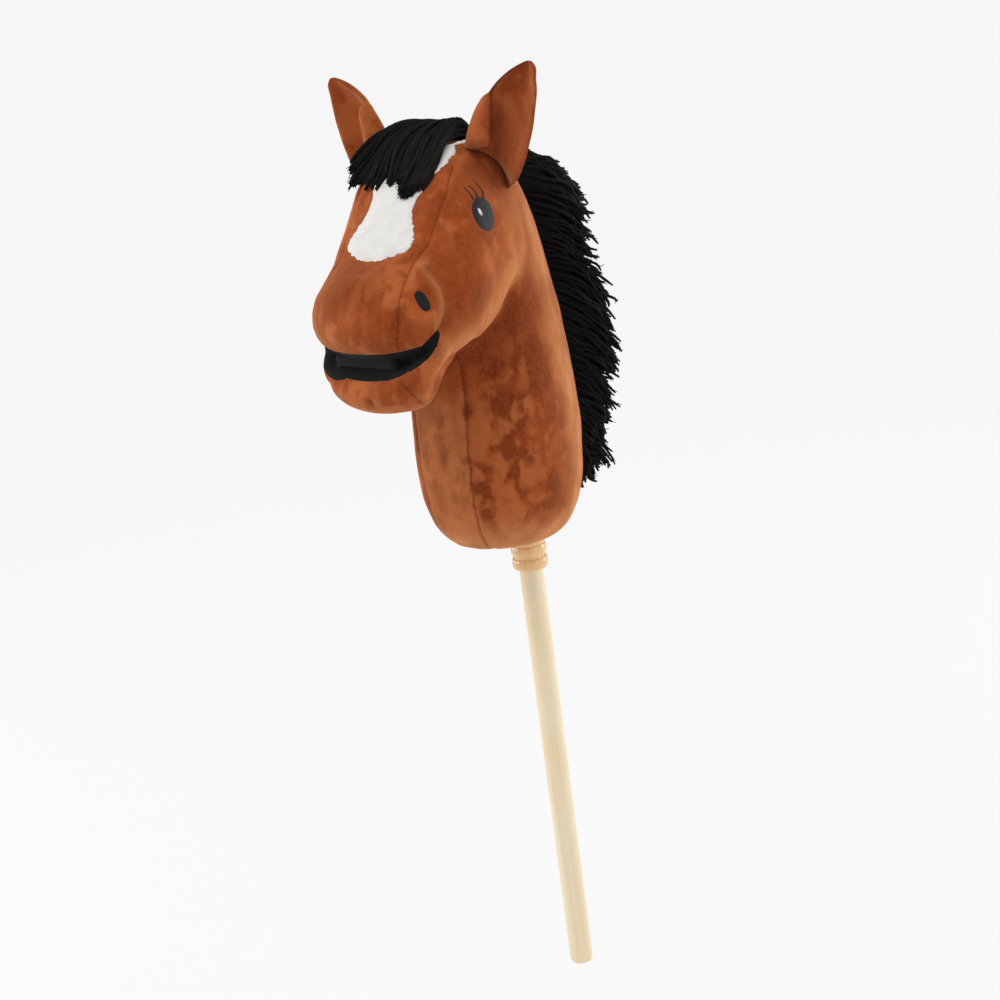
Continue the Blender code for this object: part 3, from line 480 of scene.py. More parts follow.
def bay_plush():
    """Crushed short-pile plush: dark smudges where the pile lies away, painted sheen along its edges and
    painted shade in its folds.
    """
    f = Finish("bay_plush", roughness=0.9, Sheen_Weight=0.5, Sheen_Roughness=0.5,
               Sheen_Tint=(1.0, 0.50, 0.24, 1.0), Specular_IOR_Level=0.04)
    broad = f.noise(0.050, 2.0, 0.5, 0.0, (1, 1, 0.7))
    large = f.noise(0.027, 2.5, 0.55, 0.4, (1, 1, 0.75))
    patch = f.noise(0.019, 2.5, 0.5, 0.4, (1, 1, 0.5))
    smudge = f.noise(0.013, 2.0, 0.5, 0.3, (1, 1, 0.75))
    grain = f.noise(0.0040, 3.0, 0.6)
    fine = f.noise(0.0013, 2.0, 0.6)
    middling = patch * 0.5 + broad * 0.5
    tone = f.mix(middling.ramp(0.38, 0.60), BAY_LYING, BAY_PLAIN)
    spots = 1 - (large * 0.6 + smudge * 0.4).ramp(0.42, 0.55)
    tone = f.mix(f.attribute("mottle") * spots * 0.85, tone, BAY_SMUDGE)
    tone = f.mix((smudge * 0.5 + broad * 0.5).ramp(0.50, 0.60) * 0.45, tone, BAY_LIT)
    # Painted sheen along the pile's edges, with the paler throat and hem
    pale = f.attribute("pale") * (0.60 + 0.40 * middling.ramp(0.42, 0.58))
    tone = f.mix(pale * 0.90, tone, BAY_SHEEN_PALE)
    # Painted shade under the cheek, in the muzzle's fold, on its crown, in the chin's dimple and over the
    # ears
    tone = f.mix(f.attribute("shade") * 0.85, tone, BAY_SHADE)
    tone = f.mix((grain * 0.5 + fine * 0.5).ramp(0.35, 0.70) * 0.25, tone, BAY_SPECK)
    seam = abs(f.attribute("seam"))
    # Painted shade along the seams' grooves
    tone = f.mix((1 - seam.ramp(0.0004, 0.0026)) * 0.25, tone, SEAM_SHADE)
    thread = 1 - seam.ramp(0.0003, 0.0008)
    stitch = (f.attribute("along") * (2 * math.pi / STITCH_PERIOD)).sine().ramp(-0.2, 0.5)
    f.set("Base Color", f.mix(thread * (0.15 + 0.55 * stitch), tone, SEAM_THREAD))
    f.set("Normal", f.bump(fine * 0.5 + grain * 0.5, 0.0008, 0.5))
    return f


def white_plush():
    """Short white pile, a little grey between its tufts."""
    f = Finish("white_plush", roughness=0.9, Sheen_Weight=0.4, Sheen_Roughness=0.5, Specular_IOR_Level=0.1)
    tuft = f.noise(0.0022, 3.0, 0.65)
    soft = f.noise(0.014, 2.0, 0.5, 0.5)
    tone = soft.ramp(0.3, 0.7) * 0.5 + tuft.ramp(0.3, 0.7) * 0.5
    f.set("Base Color", f.mix(tone, (0.72, 0.70, 0.67), (0.84, 0.82, 0.79)))
    f.set("Normal", f.bump(tuft, 0.0009, 0.5))
    return f


def black_lining():
    """Black cloth inside the mouth, with painted light that makes its flat fold a little paler."""
    f = Finish("black_lining", roughness=0.85, Sheen_Weight=0.04, Specular_IOR_Level=0.2)
    weave = f.noise(0.0011, 1.0, 0.5)
    soft = f.noise(0.012, 2.0, 0.5)
    tone = f.mix(soft.ramp(0.3, 0.7), (0.0020, 0.0022, 0.0026), (0.0045, 0.0048, 0.0055))
    # Painted light on the raised flat fold
    f.set("Base Color", f.mix(f.attribute("flat_fold"), tone, (0.0110, 0.0120, 0.0135)))
    f.set("Normal", f.bump(weave, 0.0004, 0.5))
    return f


def satin_thread(name, dark, light, angle):
    """Satin stitch: close parallel threads at an angle."""
    f = Finish(name, roughness=0.6, Sheen_Weight=0.05, Specular_IOR_Level=0.25)
    run = f.part(f.place(), "Y")
    rise = f.part(f.place(), "Z")
    across = run * math.cos(angle) + rise * math.sin(angle) + f.noise(0.004) * 0.0006
    rows = (across * (2 * math.pi / THREAD_PITCH)).sine() * 0.5 + 0.5
    f.set("Base Color", f.mix(rows, dark, light))
    f.set("Normal", f.bump(rows, 0.0003, 0.7))
    return f


def twisted_yarn():
    """Soft two-ply yarn: the twist follows each strand's own length."""
    f = Finish("black_yarn", roughness=0.85, Sheen_Weight=0.04, Sheen_Roughness=0.4, Specular_IOR_Level=0.16)
    around = f.node("ShaderNodeUVMap", {"uv_map": "strand"})
    twist = (f.part(around, "X") * (4 * math.pi) + f.part(around, "Y") * YARN_TWIST).sine() * 0.5 + 0.5
    fluff = f.noise(0.0008, 2.0, 0.6)
    f.set("Base Color", f.mix(twist * 0.6 + fluff * 0.4, (0.0015, 0.0015, 0.0017), (0.0075, 0.0075, 0.0080)))
    f.set("Normal", f.bump(twist * 0.7 + fluff * 0.3, 0.0004, 0.8))
    return f


def pale_wood():
    """Plain sanded dowel with faint grain along it."""
    f = Finish("pale_wood", roughness=0.5, Specular_IOR_Level=0.35)
    grain = f.noise(0.004, 4.0, 0.6, 0.3, (1, 1, 0.02))
    streak = f.noise(0.0012, 3.0, 0.6, 0.2, (1, 1, 0.012))
    tone = f.noise(0.06, 2.0, 0.5, 0.0, (1, 1, 0.6))
    base = f.mix(tone.ramp(0.35, 0.65), (0.97, 0.84, 0.61), (0.96, 0.79, 0.52))
    lined = f.mix(grain.ramp(0.45, 0.75) * 0.35 + streak.ramp(0.5, 0.8) * 0.2, base, (0.80, 0.62, 0.38))
    f.set("Base Color", lined)
    f.set("Roughness", 0.45 + grain * 0.15)
    f.set("Normal", f.bump(streak, 0.0002, 0.25))
    return f


def lacquered_wood():
    """Clear lacquer over warm wood with broad grain."""
    f = Finish("lacquered_wood", roughness=0.3, Coat_Weight=0.6, Coat_Roughness=0.08)
    grain = f.noise(0.005, 4.0, 0.6, 0.4, (1, 1, 0.15))
    f.set("Base Color", f.mix(grain.ramp(0.3, 0.75), (0.95, 0.64, 0.31), (0.88, 0.53, 0.22)))
    f.set("Roughness", 0.28 + grain * 0.12)
    return f


def plain_fabric(name, colour):
    """Matt cloth, card or cord of one colour, darker in its fibres."""
    f = Finish(name, roughness=0.9)
    f.set("Base Color", f.mix(f.noise(0.003).ramp(0.3, 0.7), colour, tuple(c * 0.7 for c in colour)))
    return f


# Camera, floor and light

def set_camera():
    """The photograph's camera; its aim and its backward, right and upward directions."""
    upright = Vector((0, 0, 1))
    level = Vector((math.sin(CAMERA_AZIMUTH), -math.cos(CAMERA_AZIMUTH), 0))
    aside = Vector((math.cos(CAMERA_AZIMUTH), math.sin(CAMERA_AZIMUTH), 0))
    back = math.cos(CAMERA_ELEVATION) * level + math.sin(CAMERA_ELEVATION) * upright
    over = back.cross(aside)
    right = math.cos(CAMERA_ROLL) * aside + math.sin(CAMERA_ROLL) * over
    up = -math.sin(CAMERA_ROLL) * aside + math.cos(CAMERA_ROLL) * over
    aim = aside * CAMERA_AIM_ASIDE + upright * CAMERA_AIM_HEIGHT
    data = bpy.data.cameras.new("camera")
    data.lens = CAMERA_LENS
    data.sensor_width = SENSOR_WIDTH
    camera = bpy.data.objects.new("camera", data)
    bpy.context.scene.collection.objects.link(camera)
    turned = Matrix((right, up, back)).transposed().to_4x4()
    camera.matrix_world = Matrix.Translation(aim + back * CAMERA_DISTANCE) @ turned
    bpy.context.scene.camera = camera
    return back, right, up


def add_lamp(name, where, target, size, power):
    """A square lamp that faces its target."""
    data = bpy.data.lights.new(name, "AREA")
    data.shape = "SQUARE"
    data.size = size
    data.energy = power
    lamp = bpy.data.objects.new(name, data)
    bpy.context.scene.collection.objects.link(lamp)
    lamp.location = where
    lamp.rotation_euler = (target - where).to_track_quat("-Z", "Y").to_euler()


def set_studio(back, right, up):
    """A pale floor and backdrop, and four soft lamps placed by the camera's directions."""
    scene = bpy.context.scene
    scene.view_settings.view_transform = "Standard"
    world = bpy.data.worlds.new("studio")
    scene.world = world
    world.use_nodes = True
    sky = Nodes(world.node_tree)
    seen = sky.node("ShaderNodeLightPath", output="Is Camera Ray")
    through = sky.node("ShaderNodeLightPath", output="Is Transmission Ray")
    strength = sky.node("ShaderNodeMapRange", values={"Value": seen.maths("MAXIMUM", through),
                                                      "To Min": WORLD_LIGHT, "To Max": BACKGROUND})
    surface = sky.tree.nodes["Background"]
    sky.feed(surface.inputs["Color"], (1, 1, 1, 1))
    sky.feed(surface.inputs["Strength"], strength)

    points = [(-FLOOR, -FLOOR, 0), (FLOOR, -FLOOR, 0), (FLOOR, FLOOR, 0), (-FLOOR, FLOOR, 0)]
    floor = bpy.data.objects.new("floor", mesh_of(points, [(0, 1, 2, 3)], "floor"))
    scene.collection.objects.link(floor)
    f = Finish("floor", (0.85, 0.85, 0.85), 0.9)
    glow = f.node("ShaderNodeEmission", values={"Color": (1, 1, 1, 1), "Strength": FLOOR_GLOW})
    share = f.node("ShaderNodeLightPath", output="Is Camera Ray") * FLOOR_GLOW_SHARE
    blended = f.node("ShaderNodeMixShader", values=[share, Value(f, f.shader.outputs[0]), glow])
    f.feed(f.tree.nodes["Material Output"].inputs["Surface"], blended)
    put(floor, f)

    for name, (nearer, aside, higher, size, power) in LAMPS.items():
        where = LAMP_AIM + back * nearer + right * aside + up * higher
        add_lamp(name, where, LAMP_AIM, size, power)


# Stuffed body

def welded(names):
    """One bmesh of CAD nodes, with the points that a file keeps twice joined again."""
    bm = bmesh.new()
    for name in names:
        bm.from_mesh(nodes[name].data)
    bmesh.ops.remove_doubles(bm, verts=bm.verts, dist=1e-6)
    return bm


def tree_of(names):
    """A search tree over the faces of CAD nodes."""
    bm = welded(names)
    tree = BVHTree.FromBMesh(bm)
    bm.free()
    return tree


def lining_tree():
    """The mouth's linings, with the small corners that the CAD cloth leaves open."""
    bm = welded(LININGS)
    corner = max((v.co for v in bm.verts), key=lambda p: p.x).copy()
    lower = welded([LININGS[1]])
    edge = max(v.co.x for v in lower.verts)
    ends = [v.co.copy() for v in lower.verts if v.co.x > edge - 3 * MM]
    lower.free()
    for side in (1, -1):
        tip = bm.verts.new((side * corner.x, corner.y, corner.z))
        others = [bm.verts.new((side * p.x, p.y, p.z)) for p in ends]
        for k, first in enumerate(others):
            for second in others[k + 1:]:
                bm.faces.new((tip, first, second))
    tree = BVHTree.FromBMesh(bm)
    bm.free()
    return tree


def solid_body():
    """The stuffed body's CAD solids as one fine, even, closed mesh."""
    bm = bmesh.new()
    for name in SIDE_PANELS + GUSSETS + ["blaze"] + LININGS + FILLS:
        bm.from_mesh(nodes[name].data)
    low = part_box("left_side_panel")[0].z + 1.5 * MM
    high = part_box("socket_plug")[1].z + 4 * MM
    made = bmesh.ops.create_cone(bm, cap_ends=True, segments=32, radius1=PLUG_RADIUS, radius2=PLUG_RADIUS,
                                 depth=high - low)
    bmesh.ops.translate(bm, verts=made["verts"], vec=(0, 0, (low + high) / 2))
    mesh = bpy.data.meshes.new("body")
    bm.to_mesh(mesh)
    bm.free()
    thing = bpy.data.objects.new("body", mesh)
    bpy.context.scene.collection.objects.link(thing)
    grid = thing.modifiers.new("even", "REMESH")
    grid.mode = "VOXEL"
    grid.voxel_size = VOXEL
    shape = thing.evaluated_get(bpy.context.evaluated_depsgraph_get())
    fine = bpy.data.meshes.new_from_object(shape)
    bpy.data.objects.remove(thing)
    bm = bmesh.new()
    bm.from_mesh(fine)
    keep_largest(bm)
    bmesh.ops.triangulate(bm, faces=bm.faces)
    bm.to_mesh(fine)
    bm.free()
    return fine


def keep_largest(bm):
    """Delete every separate island of a bmesh but the largest."""
    bm.verts.ensure_lookup_table()
    seen = set()
    islands = []
    for start in bm.verts:
        if start in seen:
            continue
        island = [start]
        seen.add(start)
        for vert in island:
            for edge in vert.link_edges:
                other = edge.other_vert(vert)
                if other not in seen:
                    seen.add(other)
                    island.append(other)
        islands.append(island)
    largest = max(islands, key=len)
    for island in islands:
        if island is not largest:
            bmesh.ops.delete(bm, geom=island, context="VERTS")


class Surface:
    """A mesh as arrays, with values kept at its points."""

    def __init__(self, mesh):
        count = len(mesh.vertices)
        self.points = np.empty(count * 3)
        mesh.vertices.foreach_get("co", self.points)
        self.points = self.points.reshape(-1, 3)
        edges = np.empty(len(mesh.edges) * 2, int)
        mesh.edges.foreach_get("vertices", edges)
        self.edges = edges.reshape(-1, 2)
        faces = np.empty(len(mesh.polygons) * 3, int)
        mesh.polygons.foreach_get("vertices", faces)
        self.faces = faces.reshape(-1, 3)
        self.count = np.bincount(self.edges.ravel(), minlength=count)
        self.values = {}

    def average(self, values):
        """Each point's mean over its neighbours."""
        a, b = self.edges.T
        flat = values.reshape(len(self.points), -1)
        sums = np.stack([np.bincount(a, flat[b, k], len(flat)) + np.bincount(b, flat[a, k], len(flat))
                         for k in range(flat.shape[1])], 1)
        return (sums / self.count[:, None]).reshape(values.shape)

    def smooth(self, values, rounds):
        """Values evened out over their neighbours."""
        for _ in range(rounds):
            values = values + (self.average(values) - values) * 0.5
        return values

    def relax(self, rounds, share):
        """Even out the points, each by its share."""
        for _ in range(rounds):
            self.points += (self.average(self.points) - self.points) * 0.5 * share[:, None]

    def normals(self):
        """The outward direction at each point."""
        a, b, c = (self.points[self.faces[:, k]] for k in range(3))
        facing = np.cross(b - a, c - a)
        total = np.zeros_like(self.points)
        for k in range(3):
            for axis in range(3):
                total[:, axis] += np.bincount(self.faces[:, k], facing[:, axis], len(total))
        return total / np.linalg.norm(total, axis=1)[:, None]

    def distance(self, tree):
        """Each point's distance from the faces of a search tree."""
        return np.array([tree.find_nearest(Vector(p))[3] for p in self.points])

    def tree(self):
        """A search tree over the surface itself."""
        return BVHTree.FromPolygons(self.points.tolist(), self.faces.tolist())


def cut_along(body, word):
    """Split a surface's triangles along the line where one of its values is zero."""
    level = body.values[word]
    inside = level[body.faces] > 0
    mixed = inside.any(1) & ~inside.all(1)
    kept = body.faces[~mixed].tolist()
    made = {}

    def between(a, b):
        key = (min(a, b), max(a, b))
        made.setdefault(key, len(body.points) + len(made))
        return made[key]

    for face, sides in zip(body.faces[mixed].tolist(), inside[mixed].tolist()):
        lone = next(k for k in range(3) if sides.count(sides[k]) == 1)
        a, b, c = face[lone], face[(lone + 1) % 3], face[(lone + 2) % 3]
        p = between(a, b)
        q = between(a, c)
        kept += [(a, p, q), (p, b, c), (p, c, q)]
    ends = np.array(list(made))
    share = level[ends[:, 0]] / (level[ends[:, 0]] - level[ends[:, 1]])
    share = np.clip(share, CUT_MARGIN, 1 - CUT_MARGIN)

    def joined(values):
        first, second = values[ends[:, 0]], values[ends[:, 1]]
        part = share[:, None] if values.ndim > 1 else share
        return np.concatenate([values, first + (second - first) * part])

    body.points = joined(body.points)
    body.values = {key: joined(values) for key, values in body.values.items()}
    body.values[word][-len(ends):] = 0.0
    body.faces = np.array(kept)


def cloth_from(body, chosen, name, finish, words=()):
    """A piece of cloth made of some of a surface's triangles, thick towards its inside."""
    used, faces = np.unique(body.faces[chosen], return_inverse=True)
    mesh = mesh_of(body.points[used], faces.reshape(-1, 3), name)
    for word in words:
        keep_values(mesh, word, body.values[word][used])
    thing = object_from(name, mesh, finish)
    cloth = thing.modifiers.new("cloth", "SOLIDIFY")
    cloth.thickness = CLOTH
    cloth.offset = -1
    return thing


def point_tree(places):
    """A search tree over points."""
    tree = KDTree(len(places))
    for k, place in enumerate(places):
        tree.insert(place, k)
    tree.balance()
    return tree


def seam_lengths():
    """A tree of points along the side panels' edges, and the distance of each along its edge."""
    places = []
    lengths = []
    for name in SIDE_PANELS:
        bm = welded([name])
        rim = {e for e in bm.edges if len(e.link_faces) == 2 and e.calc_face_angle(0) > PANEL_EDGE_ANGLE}
        left = set(rim)
        while left:
            edge = min(left, key=lambda e: e.index)
            vert = edge.verts[0]
            run = 0.0
            while edge is not None:
                left.discard(edge)
                other = edge.other_vert(vert)
                steps = max(1, int(edge.calc_length() / (1.5 * MM)))
                for k in range(steps):
                    places.append(vert.co.lerp(other.co, k / steps))
                    lengths.append(run + edge.calc_length() * k / steps)
                run += edge.calc_length()
                heading = other.co - vert.co
                ways = [e for e in other.link_edges if e in left]
                edge = max(ways, key=lambda e: (e.other_vert(other).co - other.co).normalized().dot(heading),
                           default=None)
                vert = other
        bm.free()
    return point_tree(places), lengths


def smoothstep(low, high, x):
    """0 before low, 1 past high and a smooth step between them."""
    t = np.clip((x - low) / (high - low), 0.0, 1.0)
    return t * t * (3 - 2 * t)


def over(x, edge, start=0.0):
    """0 before an edge's first place and 1 past its second, which are in millimetres from a start."""
    return smoothstep(start + edge[0] * MM, start + edge[1] * MM, x)


def window(x, edges, start=0.0):
    """1 between the two inner edges and 0 past the outer ones, in millimetres from a start."""
    return over(x, edges[:2], start) * over(x, edges[:1:-1], start)


def bell(distance, width):
    """1 at no distance, less than half at the width and almost nothing at twice the width."""
    return np.exp(-(distance / width) ** 2)


def noise_at(points, rate):
    """Smooth noise at each point, in finer lumps at a higher rate."""
    return np.array([noise.noise(Vector(p) * rate) for p in points])


def curve_points(controls, steps=40):
    """A smooth line through a few control points."""
    padded = [controls[0], *controls, controls[-1]]
    line = []
    for k in range(1, len(padded) - 2):
        a, b, c, d = (np.array(padded[k + m], float) for m in (-1, 0, 1, 2))
        for s in range(steps):
            t = s / steps
            line.append(0.5 * (2 * b + (c - a) * t + (2 * a - 5 * b + 4 * c - d) * t * t
                               + (3 * b - a - 3 * c + d) * t ** 3))
    line.append(np.array(padded[-2], float))
    return np.array(line)


def line_distance(points, line, reach):
    """Distance from each point to a line of points, and how far along the line that is, out to a reach."""
    tree = point_tree(line)
    far = np.full(len(points), reach)
    along = np.zeros(len(points))
    for k, point in enumerate(points):
        _, index, distance = tree.find(point)
        if distance < reach:
            far[k] = distance
            along[k] = index / (len(line) - 1)
    return far, along


def at_hem(point, side=1):
    """A point in metres from millimetres over the hem, mirrored for the right side."""
    return np.array([side * point[0] * MM, point[1] * MM, HEM + point[2] * MM])


def hem_curve(controls, side=1, steps=40):
    """A smooth line in metres through points over the hem, mirrored for the right side."""
    return curve_points([at_hem(p, side) for p in controls], steps)


def left_hand(point, out, place, heading):
    """Above zero where a point lies on the left hand of a line that passes a place on a surface."""
    return np.dot(np.cross(out, heading), point - place)


def fold(body, controls, depth, width, lip, shelf, reach):
    """Press a fold into the cover on both sides, with a lip on its left hand and a shelf on its right."""
    out = body.normals()
    rise = np.zeros(len(body.points))
    for side in (1, -1):
        line = hem_curve(controls, side)
        tree = point_tree(line)
        heading = np.gradient(line, axis=0)
        for k in np.flatnonzero(body.points[:, 0] * side >= -5 * MM):
            _, near, distance = tree.find(body.points[k])
            if distance > reach * MM:
                continue
            hand = left_hand(body.points[k], out[k], line[near], heading[near]) * side
            share = near / (len(line) - 1)
            ends = smoothstep(0.0, FOLD_START, share) * smoothstep(1.0, FOLD_END, share)
            crease = bell(distance, width * MM)
            shoulder = bell(distance, reach * FOLD_SHOULDER * MM) - crease
            rise[k] += (-depth * crease + (lip if hand > 0 else -shelf) * shoulder) * MM * ends
    body.points += out * rise[:, None]


def dent(body, point, depth, width, both=True):
    """Press a round dent into the cover, or raise the cover where the depth is below zero."""
    out = body.normals()
    for side in (1, -1) if both else (1,):
        distance = np.linalg.norm(body.points - at_hem(point, side), axis=1)
        body.points -= out * (depth * MM * bell(distance, width * MM))[:, None]


def seam_offset(body, chosen):
    """Signed distance of chosen points from the face's seams, above zero between them, and the run along."""
    out = body.normals()
    offset = np.full(len(body.points), NO_SEAM)
    run = np.zeros(len(body.points))
    for side in (1, -1):
        line = hem_curve(FACE_SEAM, side, 14)
        tree = point_tree(line)
        heading = np.gradient(line, axis=0)
        lengths = np.concatenate([[0], np.linalg.norm(np.diff(line, axis=0), axis=1).cumsum()])
        for k in np.flatnonzero(chosen & (body.points[:, 0] * side >= 0)):
            _, near, distance = tree.find(body.points[k])
            hand = left_hand(body.points[k], out[k], line[near], heading[near]) * side
            offset[k] = -math.copysign(min(distance, NO_SEAM), hand)
            run[k] = lengths[near]
    return offset, run


def painted_sheen_and_pale_zones(points):
    """How pale the pile is painted: painted sheen along PALE_LINES, and paler in front of the throat and at
    the hem.
    """
    x, y, z = points.T
    pale = THROAT_PALE * (over(np.abs(x), THROAT_SIDE) * over(y, THROAT_BACK) * over(z, THROAT_TOP, HEM))
    for controls, width, strength in PALE_LINES:
        for side in (1, -1):
            far, _ = line_distance(points, hem_curve(controls, side, 12), 3 * width * MM)
            pale = np.maximum(pale, strength * bell(far, width * MM))
    return np.maximum(pale, over(z, HEM_BAND, HEM))


def painted_pile_shade(points):
    """How much shade is painted on the pile: under the cheek, in the muzzle's fold, on its crown and in the
    chin's dimple.
    """
    _, y, z = points.T
    shade = np.zeros(len(points))
    sharp, soft = UNDER_CHEEK_EDGES
    for side in (1, -1):
        line = hem_curve(CHEEK_FOLD, side, 12)
        far, along = line_distance(points, line, UNDER_CHEEK_REACH)
        height = line[(along * (len(line) - 1)).astype(int), 2]
        edge = (sharp + (soft - sharp) * smoothstep(UNDER_CHEEK_SOFTENS, 1.0, along)) * MM
        under = smoothstep(0.0, 1.0, (height - z) / edge) * over(y, UNDER_CHEEK_FRONT)
        under = UNDER_CHEEK_SHADE * under * bell(far, UNDER_CHEEK_WIDTH)
        shade = np.maximum(shade, np.minimum(1.0, under))
        far, along = line_distance(points, hem_curve(MUZZLE_FOLD, side, 12), 20 * MM)
        crease = MUZZLE_FOLD_SHADE * bell(far, MUZZLE_FOLD_SHADE_WIDTH) * smoothstep(0.0, 0.3, along)
        shade = np.maximum(shade, crease)
    crown = np.linalg.norm((points - at_hem(MUZZLE_CROWN)) / CROWN_STRETCH, axis=1)
    shade = np.maximum(shade, CROWN_SHADE * over(crown, CROWN_EDGE))
    spot = np.linalg.norm(points - at_hem(CHIN_DIMPLE[0]), axis=1)
    return np.maximum(shade, bell(spot, DIMPLE_SHADE_WIDTH))


def blaze_depth(points):
    """How far each point lies inside the blaze's outline on the face, and below zero outside it."""
    half = [at_hem(p) for p in BLAZE_OUTLINE]
    outline = curve_points(half + [p * (-1, 1, 1) for p in half[-2::-1]], 12)
    left = outline[:len(outline) // 2][::-1]
    width = np.interp(points[:, 2], left[:, 2], left[:, 0], left=-1.0, right=-1.0)
    inside = (np.abs(points[:, 0]) < width) & (points[:, 1] < BLAZE_BACK)
    depth, _ = line_distance(points, outline, 25 * MM)
    return np.where(inside, depth, -depth)


def mouth_depth(body, depth):
    """The depth inside the lining's edge, drawn in all round and led out to the corners of the mouth."""
    depth = depth - MOUTH_INSET
    for controls in (MOUTH_TIP, FAR_MOUTH_TIP):
        tip = hem_curve([place for place, _ in controls], steps=8)
        far, share = line_distance(body.points, tip, 20 * MM)
        reach = np.interp(share, np.linspace(0, 1, len(controls)), [width for _, width in controls])
        depth = np.maximum(depth, reach * MM - far)
    return depth


def seam_values(body, to_side, to_gusset, mouth):
    """Signed distance of each point from the nearest seam, and the length along that seam."""
    x, y, z = body.points.T
    seam = to_side - to_gusset
    nape = (to_side < 2 * MM) & (to_gusset > 8 * MM)
    seam = np.where(nape & (np.abs(x) < NAPE_HALF_WIDTH), x, seam)
    tree, lengths = seam_lengths()
    along = np.array([lengths[tree.find(p)[1]] for p in body.points])
    face = np.maximum(over(y, FACE_BACK) * over(z, FACE_LOW_EDGE, HEM), over(y, MUZZLE_BACK))
    offset, run = seam_offset(body, face > 0)
    seam = seam * (1 - face) + offset * face
    along = np.where(face > 0.5, run, along)
    poll = over(y, POLL_FRONT) * over(z, POLL_LOW_EDGE, HEM) * (np.abs(x) > NAPE_HALF_WIDTH)
    seam = seam + np.sign(seam) * NO_SEAM * poll
    return np.where(mouth > -MOUTH_RIM, NO_SEAM, seam), along


def shape_cover(body, seam, near_mouth):
    """Even out the solids' facets, sink the seams, and press in the folds and dents of the cover."""
    dent(body, *JAW_HOLLOW)
    body.relax(SMOOTHING_ROUNDS, 1 - 0.85 * near_mouth)
    groove = bell(seam, SEAM_WIDTH)
    puff = bell(np.abs(seam) - PUFF_PLACE, PUFF_WIDTH)
    broad, small = (noise_at(body.points, rate) for rate in LUMP_RATES)
    lumps = broad + 0.5 * small
    pucker = noise_at(body.points, PUCKER_RATE) * bell(seam, PUCKER_WIDTH)
    rise = FULLNESS - SEAM_DEPTH * groove + PUFF * puff + LUMPS * lumps + PUCKER * pucker
    body.points += body.normals() * (rise * (1 - near_mouth))[:, None]
    dent(body, *EAR_SWELLING)
    fold(body, CHEEK_FOLD, *CHEEK_FOLD_SIZES)
    fold(body, MUZZLE_FOLD, *MUZZLE_FOLD_SIZES)
    for place in (CHIN_DIMPLE, FAR_MOUTH_TUCK, JAW_REAR, CHEEK_FLAT, FAR_FOREHEAD):
        dent(body, *place)
    corner = np.linalg.norm(body.points - at_hem(FAR_MOUTH_CORNER), axis=1)
    body.relax(CORNER_ROUNDS, bell(corner, CORNER_WIDTH))
    dent(body, *NOSTRIL_DENT)


def make_body():
    """The stuffed head and neck as one surface, with the values that cut it into cloths and tint them."""
    body = Surface(solid_body())
    to_side = body.distance(tree_of(SIDE_PANELS))
    to_gusset = body.distance(tree_of(GUSSETS + ["blaze"]))
    to_bay = body.distance(tree_of(SIDE_PANELS + GUSSETS))
    to_blaze = body.distance(tree_of(["blaze"]))
    to_lining = body.distance(lining_tree())
    mouth = body.smooth(np.minimum(to_bay, to_blaze) - to_lining, 3)
    near_mouth = over(mouth, NEAR_MOUTH)
    mouth = mouth_depth(body, mouth)
    white = blaze_depth(body.points)
    seam, along = seam_values(body, to_side, to_gusset, mouth)
    shape_cover(body, seam, near_mouth)

    x, y, z = body.points.T
    flat = window(x, LINING_FOLD_ACROSS) * over(mouth, LINING_FOLD_INSIDE)
    flat = flat * window(z, LINING_FOLD_UP, HEM) * over(y, LINING_FOLD_BACK)
    body.points[:, 1] += flat * (np.minimum(y, LINING_FOLD_FRONT) - y)
    white = np.minimum(white + RAGGED_EDGE * noise_at(body.points, RAGGED_RATE), -mouth)
    body.points += body.normals() * (BLAZE_PILE * over(white, WHITE_PILE))[:, None]

    x, y, z = body.points.T
    neck = over(z, NECK_TOP, HEM) * over(y, NECK_FRONT)
    shade = painted_pile_shade(body.points)
    body.values = {"seam": seam, "along": along, "white": white, "mouth": mouth, "flat_fold": flat,
                   "mottle": 0.50 + 0.50 * neck, "pale": painted_sheen_and_pale_zones(body.points) * (1 - shade),
                   "shade": shade}
    return body


def dress_body(plush):
    """The plush cover, the blaze and the mouth's lining; returns a tree of the whole surface."""
    body = make_body()
    tree = body.tree()
    cut_along(body, "mouth")
    cut_along(body, "white")
    black = body.values["mouth"][body.faces].sum(1) > 0
    white = (body.values["white"][body.faces].sum(1) > 0) & ~black
    cover = cloth_from(body, ~black & ~white, "plush_cover", plush,
                       ("seam", "along", "mottle", "pale", "shade"))
    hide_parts(*SIDE_PANELS, *GUSSETS, *FILLS)
    blaze = cloth_from(body, white, "white_blaze", white_plush())
    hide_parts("blaze")
    lining = cloth_from(body, black, "mouth_cloth", black_lining(), ("flat_fold",))
    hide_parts(*LININGS)
    return tree


# Ears

